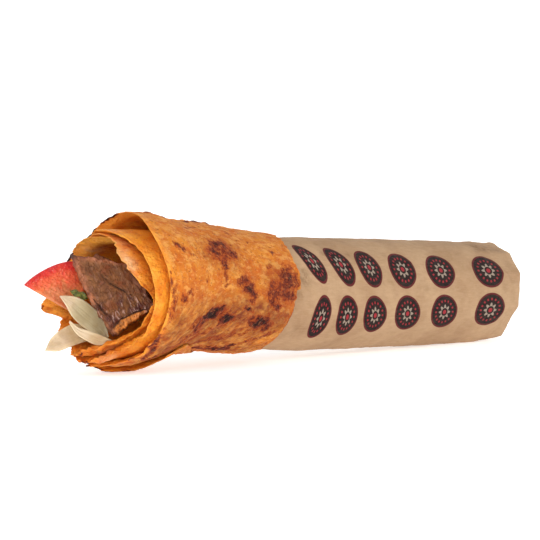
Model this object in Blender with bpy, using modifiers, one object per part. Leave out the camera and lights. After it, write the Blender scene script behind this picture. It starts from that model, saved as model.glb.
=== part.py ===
"""A durum wrap: a flatbread rolled round grilled meat, tomato and onion, its lower half in a kraft paper sleeve.

Shapes are worked out in millimetres and degrees about the roll's own axis, which is X, with the open mouth
towards -X and the sleeve's folded end towards +X. Angles about the axis run from the near side (-Y) over the
top (90) to the far side (180) and the bottom (270). The bread is one long sheet wound outwards, so its angle
keeps growing from turn to turn. The roll then lies tilted on its mouth's lower lip and the sleeve's far end.
"""

import math

import bmesh
import bpy
import numpy as np
from mathutils import Euler, Vector

MM = 0.001

# The resting pose of the roll: its slope, and where the sheet's zero station comes to lie.
TILT = 1.74
SHIFT = (-16.92, -0.23, 30.18)
FLOOR_AT_MOUTH = (-99.0, -33.2)
FLOOR_SLOPE = math.tan(math.radians(TILT))

# The paper sleeve.
SLEEVE_RADIUS = 26.8
SLEEVE_NECK = 26.0
NECK_END, NECK_START = 20.0, -10.0
PAPER = 0.5
SLEEVE_COLUMNS = 48
SLEEVE_STATIONS = (-36.0, -25.0, -14.0, 3.0, 20.0, 60.0, 100.0, 145.0, 154.0)
SLEEVE_CORNERS = (-88.0, -58.0, -15.0, 22.0, 50.0, 85.0, 115.0, 148.0, 188.0, 230.0)
SLEEVE_END = (
    (-90, 160), (-60, 166), (-36, 165), (-12, 165), (20, 168), (60, 169), (90, 171), (135, 170), (180, 167),
    (225, 163), (270, 160),
)
SLEEVE_SEAL_ANGLE = 20.0
RIM_ROUND = 1.2
FOLD_START = 145.0
CAP_RINGS = (0.92, 0.62, 0.3)
CAP_DISH = 2.4

# The flatbread.
SHEET = 1.8
THIN_EDGE = 0.7
LAP_UNDER, LAP_OVER = 17.0, 20.0
FLAP_END = -12.0
ROLL_END = 146.0
SLIT_START = -38.0
INNER_END, INNER_EDGE, OUTER_EDGE, OUTER_END = -1000.0, -122.0, -102.0, 316.0
INNER_COLUMNS, OUTER_COLUMNS = 80, 38
FRONT_ROWS = (0.0, 0.05, 0.13, 0.25, 0.42, 0.62, 0.82, 1.0)
INNER_STATIONS = (-25.0, -14.0, 3.0, 20.0, ROLL_END)
FLAP_ROWS = (0.2, 0.4, 0.6, 0.8, 1.0)

# The outer turn's radius along the roll, and the lift of its middle: the bread swells towards the mouth.
GIRTH = ((-95, 34.5), (-93, 34.4), (-80, 33.0), (-70, 30.5), (-63, 29.5), (-54, 29.4), (-38, 28.7), (-12, 28.1))
LIFT = ((-115, 1.2), (-93, 1.7), (-80, 2.4), (-70, 3.2), (-62, 3.6), (-54, 3.3), (-38, 2.1), (-12, 0.8), (20, 0.0))
# The sheet's radius by its winding angle, tight inside the sleeve and loose at the mouth. The tight sheet steps
# out by a layer where its own outer end leaves off.
TIGHT = ((-1000, 19.6), (-62, 25.6), (-42, 27.8), (-25, 29.0), (300, 29.0), (316, 28.5))
LOOSE = (
    (-1000, 22.4), (-900, 24.4), (-810, 25.6), (-720, 26.0), (-630, 25.2), (-540, 27.2), (-450, 28.3),
    (-400, 30.2), (-360, 31.9), (-330, 31.0), (-300, 28.9), (-275, 26.8), (-245, 27.6), (-180, 30.8), (-90, 31.0),
    (-50, 32.2), (0, 34.0), (90, 34.6), (180, 34.2), (260, 35.3), (300, 34.2), (316, 33.6),
)
# The torn edge at the mouth, by winding angle: each turn inwards reaches further out, with flaps and notches.
TORN_EDGE = (
    (-1000, -106), (-975, -108.5), (-955, -108), (-944, -106), (-935, -101), (-920, -99), (-905, -105),
    (-892, -116.5), (-881, -117), (-876, -110.5), (-868, -111), (-858, -113), (-840, -114), (-810, -121.5), (-781, -119), (-765, -109), (-738, -102.4), (-726, -101), (-712, -108),
    (-683, -115), (-661, -111.5), (-630, -108), (-590, -103), (-510, -103), (-450, -117.5), (-415, -114),
    (-398, -107), (-380, -105.5), (-345, -106.5), (-320, -108.5), (-303, -112), (-285, -112), (-240, -100),
    (-160, -98), (-110, -106), (-88, -113), (-70, -107), (-55, -103), (0, -99), (45, -100), (87, -93), (137, -92),
    (165, -99), (190, -99), (250, -96.5), (272, -98), (288, -93), (316, -84),
)
# The flap's free edge over the paper, and the outermost end of the sheet, which hangs loose at the mouth and is
# tucked under the roll further along.
FLAP_EDGE = ((-102, -15), (-70, -18), (-42, -16), (-17, -14), (10, -12), (51, -8), (90, -3), (180, -7), (316, -15))
LOOSE_END = (
    (-104, 276), (-95, 291), (-87, 300), (-80, 308), (-75, 310), (-66, 298), (-55, 274), (-45, 259), (-38, 256),
)
LOOSE_END_START = 200.0
SEAM_START = -60.0
# Where the outermost end lies close on the turn below, how thin it is there, and how the roll is tucked in
# underneath, just behind the mouth.
LAP_LYING, LAP_LETS_GO, LAP_CLOSES = 1.5, (-93.0, -80.0), (-50.0, -58.0)
LAP_ANGLES, LAP_THINNING = (235.0, 262.0), 0.55
TUCK, TUCK_AT, TUCK_LENGTH, TUCK_ANGLE, TUCK_REACH = 1.2, -79.0, 8.0, -90.0, (52.0, 12.0)

# How far the roll's section is from round: an oval part, and dents that wander along it.
OVAL, OVAL_LEAN = 0.007, 0.6
DENT, DENT_TWIST = 0.004, 40.0

# The filling that runs through the roll.
CORE_START, CORE_END = -88.0, 143.0
CORE_RADIUS, CORE_BUMP, CORE_TWIST, BUMP_LENGTH = 15.2, 0.9, 6.0, 9.0
CORE_BLUNTNESS = 3.0
CORE_ROWS, CORE_COLUMNS = 22, 18

# What lies at the mouth, each piece in its own frame: where that is and how it is turned. Z faces outwards.
SLAB_AT, SLAB_TURN = (-109.4, -9.3, 1.6), (66.3, 62.3, -70.5)
SLAB_CORNERS = ((-23.6, -9.2), (18.0, -7.6), (13.4, 15.2), (-7.8, 12.4))
SLAB_THICKNESS, SLAB_ARCH = 5.0, 1.2
SLICE_AT, SLICE_TURN = (-103.0, -3.2, 13.8), (78.2, 18.4, -48.0)
SLICE_CORNERS = ((-9.6, -2.6), (15.0, -4.4), (14.4, 0.8), (-8.6, 2.2))
SLICE_THICKNESS, SLICE_ARCH = 3.0, 0.5
SLAB_WAVE, SLAB_ROUNDING = 0.35, 0.22
TOMATO_AT, TOMATO_TURN = (-137.7, 12.5, 4.6), (80.9, 27.3, -13.6)
TOMATO_HALF_LENGTH, TOMATO_RADIUS = 24.0, 20.5
TOMATO_WEDGE, TOMATO_CUT = 34.0, 27.0
TOMATO_POINT, TOMATO_FULLNESS, TOMATO_SHARPNESS = 0.16, 1.08, 0.32
LONG_ONION_AT, LONG_ONION_TURN = (-124.3, 5.1, 0.0), (81.1, 40.3, -27.9)
LONG_ONION_LENGTH = 27.0
LONG_ONION_LOW = ((0, -0.3), (0.15, -1.5), (0.32, -3.4), (0.62, -3.7), (0.85, -2.7), (1, -1.0))
LONG_ONION_HIGH = ((0, 0.3), (0.15, 3.4), (0.34, 5.2), (0.6, 5.2), (0.85, 3.2), (1, 0.4))
CUP_ONION_AT, CUP_ONION_TURN = (-122.9, 1.0, -10.1), (66.7, 25.0, -37.3)
CUP_ONION_LENGTH = 20.0
CUP_ONION_LOW = ((0, -0.8), (0.2, -4.0), (0.45, -5.4), (0.72, -5.2), (1, -0.9))
CUP_ONION_HIGH = ((0, 0.2), (0.2, -1.2), (0.45, -0.9), (0.72, -0.4), (1, 0.2))
LEAF_ONION_AT, LEAF_ONION_TURN = (-130.4, 7.4, -22.2), (67.4, -13.0, -15.3)
LEAF_ONION_LENGTH = 23.0
LEAF_ONION_LOW = ((0, -0.2), (0.2, -1.8), (0.5, -1.5), (1, -0.8))
LEAF_ONION_HIGH = ((0, 0.2), (0.17, 4.0), (0.32, 5.8), (0.52, 7.2), (0.75, 7.6), (1, 3.0))
ONION_THICKNESS = 1.5
PARSLEY_AT, PARSLEY_TURN = (-118.4, 5.8, 2.1), (92.3, 23.5, -30.9)
PARSLEY_LENGTH, PARSLEY_THICKNESS = 8.0, 0.5
PARSLEY_LOW = ((0, -0.2), (0.3, -1.5), (0.55, -1.0), (0.75, -1.6), (1, -0.2))
PARSLEY_HIGH = ((0, 0.2), (0.25, 1.5), (0.45, 1.1), (0.65, 1.8), (1, 0.2))


def through(table, at):
    """The value at a key on a smooth curve through the table's (key, value) pairs."""
    keys, values = np.array(table, float).T
    slopes = np.gradient(values, keys)
    at = np.clip(at, keys[0], keys[-1])
    low = np.clip(np.searchsorted(keys, at) - 1, 0, len(keys) - 2)
    span = keys[low + 1] - keys[low]
    part = (at - keys[low]) / span
    rest = 1 - part
    return (
        values[low] * rest**2 * (1 + 2 * part)
        + values[low + 1] * part**2 * (1 + 2 * rest)
        + slopes[low] * span * part * rest**2
        - slopes[low + 1] * span * part**2 * rest
    )


def between(table, at):
    """The value at a key on straight lines between the table's pairs."""
    keys, values = np.array(table, float).T
    return float(np.interp(at, keys, values))


def fade(value, start, end):
    """0 at start, 1 at end, with soft ends."""
    part = min(1.0, max(0.0, (value - start) / (end - start)))
    return part * part * (3 - 2 * part)


def sleeve_radius(x):
    return SLEEVE_NECK + (SLEEVE_RADIUS - SLEEVE_NECK) * fade(x, NECK_START, NECK_END)


def cover(x):
    """The outermost layer's radius."""
    return sleeve_radius(x) if x > FLAP_END else float(through(GIRTH, x))


def lumps(angle, x):
    """The roll's slight unevenness, shared by every layer so that none cuts another."""
    turn = math.radians(angle)
    return 1 + OVAL * math.cos(2 * turn + OVAL_LEAN) + DENT * math.cos(3 * turn + x / DENT_TWIST)


def about_axis(x, angle, radius):
    """A point of a layer, pressed flat where the roll rests on the floor."""
    turn = math.radians(angle)
    depth = max(0.0, cover(x) - radius)
    radius *= lumps(angle, x)
    z = radius * math.sin(turn) + float(through(LIFT, x))
    floor = FLOOR_AT_MOUTH[1] + FLOOR_SLOPE * (x - FLOOR_AT_MOUTH[0])
    return Vector((x, -radius * math.cos(turn), max(z, floor + depth)))


def free_radius(angle, x):
    """The outer face's radius at a winding angle, tight in the sleeve and loose towards the mouth."""
    opened = (float(through(GIRTH, x)) - GIRTH[-1][1]) / (GIRTH[0][1] - GIRTH[-1][1])
    seam = angle if angle > 0 else min(0.0, angle + OUTER_END - between(LOOSE_END, x))
    tight = between(TIGHT, seam) * sleeve_radius(x) / SLEEVE_RADIUS
    return tight + opened * (float(through(LOOSE, angle)) - tight)


def sheet_radius(angle, x):
    """The free radius, but tucked in underneath, where the outer end lies close on the turn below."""
    radius = free_radius(angle, x)
    lying = min(radius, free_radius(angle - 360, x) + LAP_LYING)
    share = fade(angle, *LAP_ANGLES) * fade(x, *LAP_LETS_GO) * fade(x, *LAP_CLOSES)
    away = abs((angle - TUCK_ANGLE + 180) % 360 - 180)
    under = math.exp(-(((x - TUCK_AT) / TUCK_LENGTH) ** 2)) * fade(away, *TUCK_REACH)
    return radius + share * (lying - radius) - TUCK * under


def sheet_thickness(angle, x):
    """Full, but for the lapped seam, where the outer end lies on the turn below."""
    under = min(1.0, abs(angle - OUTER_EDGE) / LAP_UNDER + fade(x, SLIT_START, SEAM_START))
    over = min(1.0, (OUTER_END - angle) / LAP_OVER, 1 - LAP_THINNING * fade(angle, *LAP_ANGLES))
    return THIN_EDGE + (SHEET - THIN_EDGE) * min(under, over)


def wound_angle(angle, x):
    """The outermost end is cut slanting, so its last stretch is shorter towards the mouth."""
    if angle <= LOOSE_END_START:
        return angle
    reach = (between(LOOSE_END, x) - LOOSE_END_START) / (OUTER_END - LOOSE_END_START)
    return LOOSE_END_START + (angle - LOOSE_END_START) * reach


def new_object(name, mesh, colour, roughness):
    """A smooth-shaded object with its own material, in the wrap's collection and on its carrier."""
    obj = bpy.data.objects.new(name, mesh)
    wrap.objects.link(obj)
    obj.parent = carrier
    material = bpy.data.materials.new(name)
    material.use_nodes = True
    shader = material.node_tree.nodes["Principled BSDF"]
    shader.inputs["Base Color"].default_value = (*colour, 1)
    shader.inputs["Roughness"].default_value = roughness
    shader.inputs["Metallic"].default_value = 0
    mesh.materials.append(material)
    mesh.shade_smooth()
    mesh.set_sharp_from_angle(angle=math.radians(40))
    return obj


def mesh_of(bm, name):
    mesh = bpy.data.meshes.new(name)
    bm.to_mesh(mesh)
    bm.free()
    return mesh


def grid(columns, rows):
    """A flat grid primitive of (columns, rows) faces, and each vertex's column and row."""
    bm = bmesh.new()
    bmesh.ops.create_grid(bm, x_segments=columns, y_segments=rows, size=1)
    cells = {v: (round((v.co.x + 1) / 2 * columns), round((v.co.y + 1) / 2 * rows)) for v in bm.verts}
    return bm, cells


def solidify(obj, thickness, offset=-1.0, group=None):
    modifier = obj.modifiers.new("thickness", "SOLIDIFY")
    modifier.thickness = thickness * MM
    modifier.offset = offset
    if group:
        modifier.vertex_group = group
    return modifier


def flatbread():
    """The rolled sheet. A slit parts its outermost turn, which lies over the paper, from the turns within."""
    inner = np.linspace(INNER_END, INNER_EDGE, INNER_COLUMNS + 1)
    outer = np.linspace(OUTER_EDGE, OUTER_END, OUTER_COLUMNS + 1)
    angles = np.concatenate([inner, outer])
    front, back = len(FRONT_ROWS) - 1, len(FLAP_ROWS)
    bm, cells = grid(len(angles) - 1, front + back)
    slit = [
        face
        for face in bm.faces
        if {cells[v][0] for v in face.verts} == {INNER_COLUMNS, INNER_COLUMNS + 1}
        and min(cells[v][1] for v in face.verts) >= front
    ]
    bmesh.ops.delete(bm, geom=slit, context="FACES_ONLY")
    weights = {}
    for vertex, (column, row) in cells.items():
        angle = float(angles[column])
        edge = float(through(TORN_EDGE, angle))
        if row <= front:
            x = edge + (SLIT_START - edge) * FRONT_ROWS[row]
        elif column <= INNER_COLUMNS:
            x = INNER_STATIONS[row - front - 1]
        else:
            x = SLIT_START + (float(through(FLAP_EDGE, angle)) - SLIT_START) * FLAP_ROWS[row - front - 1]
        vertex.co = about_axis(x, wound_angle(angle, x), sheet_radius(angle, x)) * MM
        weights[vertex] = sheet_thickness(angle, x) / SHEET
    bm.verts.index_update()
    thickness = {vertex.index: weight for vertex, weight in weights.items()}
    bmesh.ops.triangulate(bm, faces=bm.faces)
    bmesh.ops.reverse_faces(bm, faces=bm.faces)
    obj = new_object("flatbread", mesh_of(bm, "flatbread"), (0.80, 0.40, 0.12), 0.75)
    group = obj.vertex_groups.new(name="thickness")
    for index, weight in thickness.items():
        group.add([index], weight, "REPLACE")
    solidify(obj, SHEET, group=group.name)


def sleeve_corner(angle):
    """How far a chord between the sleeve's folded corners lies inside its circle."""
    corners = [*SLEEVE_CORNERS, SLEEVE_CORNERS[0] + 360]
    low = max(c for c in corners if c <= angle)
    high = min(c for c in corners if c > angle)
    return math.cos(math.radians((high - low) / 2)) / math.cos(math.radians(angle - (low + high) / 2))


def paper_sleeve():
    """A tube of paper whose far end is creased into corners and folded shut."""
    rows = len(SLEEVE_STATIONS) + 1 + len(CAP_RINGS)
    bm, cells = grid(SLEEVE_COLUMNS, rows)
    for vertex, (column, row) in cells.items():
        angle = SLEEVE_CORNERS[0] + 360 * (column % SLEEVE_COLUMNS) / SLEEVE_COLUMNS
        rim = float(through(SLEEVE_END, (angle + 90) % 360 - 90))
        inward = 1.0
        if row < len(SLEEVE_STATIONS):
            x = SLEEVE_STATIONS[row]
        else:
            inward = (1.0, *CAP_RINGS, 0.0)[row - len(SLEEVE_STATIONS)]
            x = rim - CAP_DISH * (1 - inward) if inward < 1 else rim - RIM_ROUND
            x += (through(SLEEVE_END, SLEEVE_SEAL_ANGLE) - rim) * (1 - inward)
        folded = fade(x, FOLD_START, rim)
        radius = sleeve_radius(x) * (1 + folded * (sleeve_corner(angle) - 1)) * inward
        vertex.co = about_axis(float(x), angle, radius) * MM
    bmesh.ops.remove_doubles(bm, verts=bm.verts, dist=1e-6)
    bmesh.ops.triangulate(bm, faces=bm.faces)
    bmesh.ops.reverse_faces(bm, faces=bm.faces)
    obj = new_object("paper_sleeve", mesh_of(bm, "paper_sleeve"), (0.60, 0.43, 0.28), 0.85)
    solidify(obj, PAPER)


def meat_filling():
    """A lumpy core along the whole roll, grown from a sphere whose poles are its two ends."""
    bm = bmesh.new()
    bmesh.ops.create_uvsphere(bm, u_segments=CORE_COLUMNS, v_segments=CORE_ROWS, radius=1)
    for vertex in bm.verts:
        station = math.acos(max(-1.0, min(1.0, vertex.co.z))) / math.pi
        turn = math.atan2(vertex.co.y, vertex.co.x)
        x = CORE_START + (CORE_END - CORE_START) * station
        blunt = math.sqrt(min(1.0, math.sin(math.pi * station) * CORE_BLUNTNESS))
        bump = CORE_BUMP * math.sin(3 * turn + x / CORE_TWIST) * math.sin(x / BUMP_LENGTH + 2 * turn)
        vertex.co = about_axis(x, math.degrees(turn), (CORE_RADIUS + bump) * blunt) * MM
    bmesh.ops.recalc_face_normals(bm, faces=bm.faces)
    new_object("meat_filling", mesh_of(bm, "meat_filling"), (0.22, 0.11, 0.07), 0.55)


def set_down(obj, at, turn):
    obj.location = Vector(at) * MM
    obj.rotation_euler = Euler([math.radians(angle) for angle in turn])


def slab(name, corners, thickness, arch, segments, at, turn):
    """A slice of meat: a cube whose faces are cut fine, drawn out to four corners and rounded."""
    bm = bmesh.new()
    bmesh.ops.create_cube(bm, size=2)
    across = [edge for edge in bm.edges if abs(edge.verts[0].co.z - edge.verts[1].co.z) < 1]
    bmesh.ops.subdivide_edges(bm, edges=across, cuts=segments, use_grid_fill=True)
    a, b, c, d = (Vector(corner) for corner in corners)
    for vertex in bm.verts:
        u, v, w = vertex.co
        along, over = (u + 1) / 2, (v + 1) / 2
        flat = a.lerp(b, along).lerp(d.lerp(c, along), over)
        wave = SLAB_WAVE * math.sin(3.1 * u + 2.3 * v)
        z = (w - 1) / 2 * thickness - arch * (u * u + v * v) / 2 + wave
        vertex.co = Vector((flat.x, flat.y, z)) * MM
    obj = new_object(name, mesh_of(bm, name), (0.20, 0.10, 0.065), 0.45)
    bevel = obj.modifiers.new("soft edges", "BEVEL")
    bevel.width = SLAB_ROUNDING * thickness * MM
    bevel.segments = 2
    bevel.angle_limit = math.radians(50)
    set_down(obj, at, turn)


def tomato_wedge():
    """A ball drawn out and pointed at its poles, cut to a wedge by two planes through its core and by one across it."""
    bm = bmesh.new()
    bmesh.ops.create_uvsphere(bm, u_segments=36, v_segments=18, radius=1)
    for vertex in bm.verts:
        along = vertex.co.z
        slim = TOMATO_FULLNESS * (1 - TOMATO_POINT * along * along) * max(1 - along * along, 0) ** TOMATO_SHARPNESS
        x = TOMATO_HALF_LENGTH * (1 - along)
        vertex.co = Vector((x, TOMATO_RADIUS * slim * vertex.co.x, TOMATO_RADIUS * slim * vertex.co.y)) * MM
    wedge = math.radians(TOMATO_WEDGE)
    cuts = (
        (Vector((0, 0, -0.01)) * MM, Vector((0, 0, 1))),
        (Vector((0, 0, 0.01)) * MM, Vector((0, -math.sin(wedge), -math.cos(wedge)))),
        (Vector((TOMATO_CUT, 0, 0)) * MM, Vector((1, 0, 0))),
    )
    for point, away in cuts:
        everything = [*bm.verts, *bm.edges, *bm.faces]
        cut = bmesh.ops.bisect_plane(bm, geom=everything, plane_co=point, plane_no=away, clear_outer=True)
        rim = [piece for piece in cut["geom_cut"] if isinstance(piece, bmesh.types.BMEdge)]
        bmesh.ops.edgeloop_fill(bm, edges=rim)
    bmesh.ops.triangulate(bm, faces=[face for face in bm.faces if len(face.verts) > 4])
    bmesh.ops.recalc_face_normals(bm, faces=bm.faces)
    obj = new_object("tomato_wedge", mesh_of(bm, "tomato_wedge"), (0.75, 0.10, 0.06), 0.25)
    set_down(obj, TOMATO_AT, TOMATO_TURN)


def petal(name, length, low, high, cup, bend, thickness, colour, at, turn, segments=(10, 4)):
    """A thin slice between a lower and a higher edge, cupped across and bent along its length."""
    bm, cells = grid(*segments)
    for vertex, (column, row) in cells.items():
        along, over = column / segments[0], row / segments[1]
        bottom, top = float(through(low, along)), float(through(high, along))
        z = -cup * (1 - (2 * over - 1) ** 2) + bend * math.sin(math.pi * along)
        vertex.co = Vector((length * along, bottom + (top - bottom) * over, z)) * MM
    bmesh.ops.triangulate(bm, faces=bm.faces)
    obj = new_object(name, mesh_of(bm, name), colour, 0.35)
    solidify(obj, thickness)
    set_down(obj, at, turn)


def onions():
    white = (0.72, 0.66, 0.45)
    petal("onion_long", LONG_ONION_LENGTH, LONG_ONION_LOW, LONG_ONION_HIGH, 0.8, 0.6, ONION_THICKNESS, white,
          LONG_ONION_AT, LONG_ONION_TURN)
    petal("onion_cup", CUP_ONION_LENGTH, CUP_ONION_LOW, CUP_ONION_HIGH, 0.4, 1.2, ONION_THICKNESS, white,
          CUP_ONION_AT, CUP_ONION_TURN)
    petal("onion_leaf", LEAF_ONION_LENGTH, LEAF_ONION_LOW, LEAF_ONION_HIGH, 0.6, 0.3, ONION_THICKNESS, white,
          LEAF_ONION_AT, LEAF_ONION_TURN)


def parsley_leaf():
    petal("parsley_leaf", PARSLEY_LENGTH, PARSLEY_LOW, PARSLEY_HIGH, 0.5, 0.5, PARSLEY_THICKNESS, (0.08, 0.14, 0.02),
          PARSLEY_AT, PARSLEY_TURN)


for old in list(bpy.data.objects):
    bpy.data.objects.remove(old)
wrap = bpy.data.collections.new("durum_wrap")
bpy.context.scene.collection.children.link(wrap)
carrier = bpy.data.objects.new("carrier", None)
carrier.location = Vector(SHIFT) * MM
carrier.rotation_euler = Euler((0, math.radians(TILT), 0))
wrap.objects.link(carrier)

flatbread()
paper_sleeve()
meat_filling()
slab("meat_slab", SLAB_CORNERS, SLAB_THICKNESS, SLAB_ARCH, 7, SLAB_AT, SLAB_TURN)
slab("meat_slice", SLICE_CORNERS, SLICE_THICKNESS, SLICE_ARCH, 4, SLICE_AT, SLICE_TURN)
tomato_wedge()
onions()
parsley_leaf()
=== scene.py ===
import functools
import itertools
import math

import bmesh
import bpy
import numpy as np
from mathutils import Euler, Matrix, Vector


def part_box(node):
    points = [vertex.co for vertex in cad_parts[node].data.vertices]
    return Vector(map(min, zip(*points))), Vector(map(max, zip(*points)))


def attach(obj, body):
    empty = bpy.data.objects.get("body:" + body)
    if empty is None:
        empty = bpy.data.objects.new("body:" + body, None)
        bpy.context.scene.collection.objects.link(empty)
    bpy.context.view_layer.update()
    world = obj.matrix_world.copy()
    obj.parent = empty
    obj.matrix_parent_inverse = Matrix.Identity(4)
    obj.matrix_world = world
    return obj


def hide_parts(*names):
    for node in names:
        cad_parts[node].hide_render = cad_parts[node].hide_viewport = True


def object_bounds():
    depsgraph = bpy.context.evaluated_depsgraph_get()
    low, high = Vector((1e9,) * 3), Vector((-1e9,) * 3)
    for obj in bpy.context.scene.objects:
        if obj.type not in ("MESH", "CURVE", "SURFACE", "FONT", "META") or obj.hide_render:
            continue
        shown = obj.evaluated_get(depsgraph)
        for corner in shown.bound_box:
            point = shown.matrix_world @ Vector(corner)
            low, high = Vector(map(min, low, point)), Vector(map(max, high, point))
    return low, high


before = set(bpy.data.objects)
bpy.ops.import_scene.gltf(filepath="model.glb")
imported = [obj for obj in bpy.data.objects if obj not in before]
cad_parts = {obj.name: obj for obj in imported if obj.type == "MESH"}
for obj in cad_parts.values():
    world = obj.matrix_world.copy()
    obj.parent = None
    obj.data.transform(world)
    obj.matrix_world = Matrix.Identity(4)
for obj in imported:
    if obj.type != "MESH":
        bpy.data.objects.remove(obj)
cad_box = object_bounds()

MM = 0.001

# ---- The roll, as part.py builds it: millimetres and degrees about its axis, the mouth towards -X. ----
TILT = 1.74
SLEEVE_REACH = 171.32
ROLL_HEIGHT = 30.18
FLOOR_AT_MOUTH = (-99.0, -33.2)
FLOOR_SLOPE = math.tan(math.radians(TILT))
SLEEVE_RADIUS, SLEEVE_NECK = 26.8, 26.0
NECK_START, NECK_END = -10.0, 20.0
FLAP_END = -12.0
GIRTH = ((-95, 34.5), (-93, 34.4), (-80, 33), (-70, 30.5), (-63, 29.5), (-54, 29.4), (-38, 28.7), (-12, 28.1))
LIFT = (
    (-115, 1.2), (-93, 1.7), (-80, 2.4), (-70, 3.2), (-62, 3.6), (-54, 3.3), (-38, 2.1), (-12, 0.8), (20, 0),
)
OVAL, OVAL_LEAN = 0.007, 0.6
DENT, DENT_TWIST = 0.004, 40.0

sleeve_low, sleeve_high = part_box("paper_sleeve")
roll_at = (
    sleeve_high[0] - SLEEVE_REACH * MM,
    (sleeve_low[1] + sleeve_high[1]) / 2,
    sleeve_low[2] + ROLL_HEIGHT * MM,
)
ROLL = Matrix.Translation(Vector(roll_at)) @ Euler((0, math.radians(TILT), 0)).to_matrix().to_4x4()


# ---- Numbers and noise ----
def through(table, at):
    """The value at a key on a smooth curve through the table's (key, value) pairs."""
    keys, values = np.array(table, float).T
    slopes = np.gradient(values, keys)
    at = np.clip(at, keys[0], keys[-1])
    low = np.clip(np.searchsorted(keys, at) - 1, 0, len(keys) - 2)
    span = keys[low + 1] - keys[low]
    part = (at - keys[low]) / span
    rest = 1 - part
    return (
        values[low] * rest**2 * (1 + 2 * part)
        + values[low + 1] * part**2 * (1 + 2 * rest)
        + slopes[low] * span * part * rest**2
        - slopes[low + 1] * span * part**2 * rest
    )


def between(table, at):
    """The value at a key on straight lines between the table's pairs."""
    keys, values = np.array(table, float).T
    return np.interp(at, keys, values)


def fade(value, start, end):
    """0 at start, 1 at end, with soft ends."""
    part = np.clip((np.asarray(value, float) - start) / (end - start), 0, 1)
    return part * part * (3 - 2 * part)


def noise(*axes, seed=0):
    """Gradient noise, mostly within -1 to 1, of one feature a unit."""
    axes = np.broadcast_arrays(*[np.asarray(axis, float) for axis in axes])
    cells = [np.floor(axis).astype(np.int64) for axis in axes]
    parts = [axis - cell for axis, cell in zip(axes, cells)]
    eased = [part**3 * (part * (6 * part - 15) + 10) for part in parts]
    total = np.zeros(axes[0].shape)
    for corner in itertools.product((0, 1), repeat=len(axes)):
        mixed = np.full(axes[0].shape, 7919 * (seed + 1), np.int64)
        for cell, step in zip(cells, corner):
            mixed = ((mixed ^ ((cell + step) & 0xFFFF)) * 0x5BD1E995) & 0xFFFFFFFF
            mixed ^= mixed >> 15
        weight, slope = 1.0, 0.0
        for index, (part, ease, step) in enumerate(zip(parts, eased, corner)):
            slope = slope + (((mixed >> (8 * index)) & 255) / 127.5 - 1) * (part - step)
            weight = weight * (ease if step else 1 - ease)
        total += slope * weight
    return 2.0 * total


def layered(*axes, octaves=3, seed=0):
    """Noise of several scales on top of each other."""
    return sum(noise(*[axis * 2**o for axis in axes], seed=seed + o) / 2**o for o in range(octaves))


def ridges(*axes, seed=0):
    """Sharp crests, 1 on the crest and falling to 0 or less between."""
    return 1 - 2.2 * np.abs(noise(*axes, seed=seed))


# ---- The roll's layers ----
def from_below(angle):
    """The same place's angle about the roll, from -90 underneath to 270."""
    return (angle + 90) % 360 - 90


def sleeve_radius(x):
    """The paper's radius, narrower where the sleeve begins."""
    return SLEEVE_NECK + (SLEEVE_RADIUS - SLEEVE_NECK) * fade(x, NECK_START, NECK_END)


def cover(x):
    """The outermost layer's radius."""
    return np.where(x > FLAP_END, sleeve_radius(x), through(GIRTH, x))


def lumps(angle, x):
    """How far the roll is from round, as a factor."""
    turn = np.radians(angle)
    return 1 + OVAL * np.cos(2 * turn + OVAL_LEAN) + DENT * np.cos(3 * turn + x / DENT_TWIST)


def about_axis(x, angle, radius):
    """Points of a layer, pressed flat where the roll rests on the floor."""
    turn = np.radians(angle)
    depth = np.maximum(0.0, cover(x) - radius)
    radius = radius * lumps(angle, x)
    z = radius * np.sin(turn) + through(LIFT, x)
    floor = FLOOR_AT_MOUTH[1] + FLOOR_SLOPE * (x - FLOOR_AT_MOUTH[0])
    return np.stack(np.broadcast_arrays(x, -radius * np.cos(turn), np.maximum(z, floor + depth)), -1)


# ---- Meshes ----
def piece(
    name, points, faces, material, nodes, matrix=ROLL, values=None, corners=None, sharp=50, weld=False
):
    """A smooth piece from points in millimetres, with named values at its points, riding on the part."""
    mesh = bpy.data.meshes.new(name)
    mesh.vertices.add(len(points))
    mesh.vertices.foreach_set("co", np.asarray(points, np.float32).ravel() * MM)
    mesh.loops.add(faces.size)
    mesh.loops.foreach_set("vertex_index", faces.ravel().astype(np.int32))
    mesh.polygons.add(len(faces))
    mesh.polygons.foreach_set("loop_start", np.arange(0, faces.size, 4, np.int32))
    mesh.update(calc_edges=True)
    mesh.validate()
    for key, value in (values or {}).items():
        value = np.asarray(value, np.float32)
        kind, field = ("FLOAT_VECTOR", "vector") if value.ndim == 2 else ("FLOAT", "value")
        mesh.attributes.new(key, kind, "POINT").data.foreach_set(field, value.ravel())
    for key, value in (corners or {}).items():
        mesh.uv_layers.new(name=key).data.foreach_set("uv", np.asarray(value, np.float32).ravel())
    bm = bmesh.new()
    bm.from_mesh(mesh)
    if weld or corners:
        bmesh.ops.remove_doubles(bm, verts=bm.verts, dist=1e-7)
    if bm.calc_volume(signed=True) < 0:
        bmesh.ops.reverse_faces(bm, faces=bm.faces)
    bm.to_mesh(mesh)
    bm.free()
    mesh.transform(matrix)
    mesh.materials.append(material)
    mesh.shade_smooth()
    mesh.set_sharp_from_angle(angle=math.radians(sharp))
    obj = bpy.data.objects.new(name, mesh)
    bpy.context.scene.collection.objects.link(obj)
    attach(obj, "root")
    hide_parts(*nodes)


def cells_of(shape, around=False):
    """Quads over a grid of points, as vertex numbers, whose first axis may close on itself."""
    index = np.arange(shape[0] * shape[1]).reshape(shape)
    ahead = np.roll(index, -1, 0) if around else index[1:]
    here = index if around else index[:-1]
    return np.stack([here[:, :-1], ahead[:, :-1], ahead[:, 1:], here[:, 1:]], -1)


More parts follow.
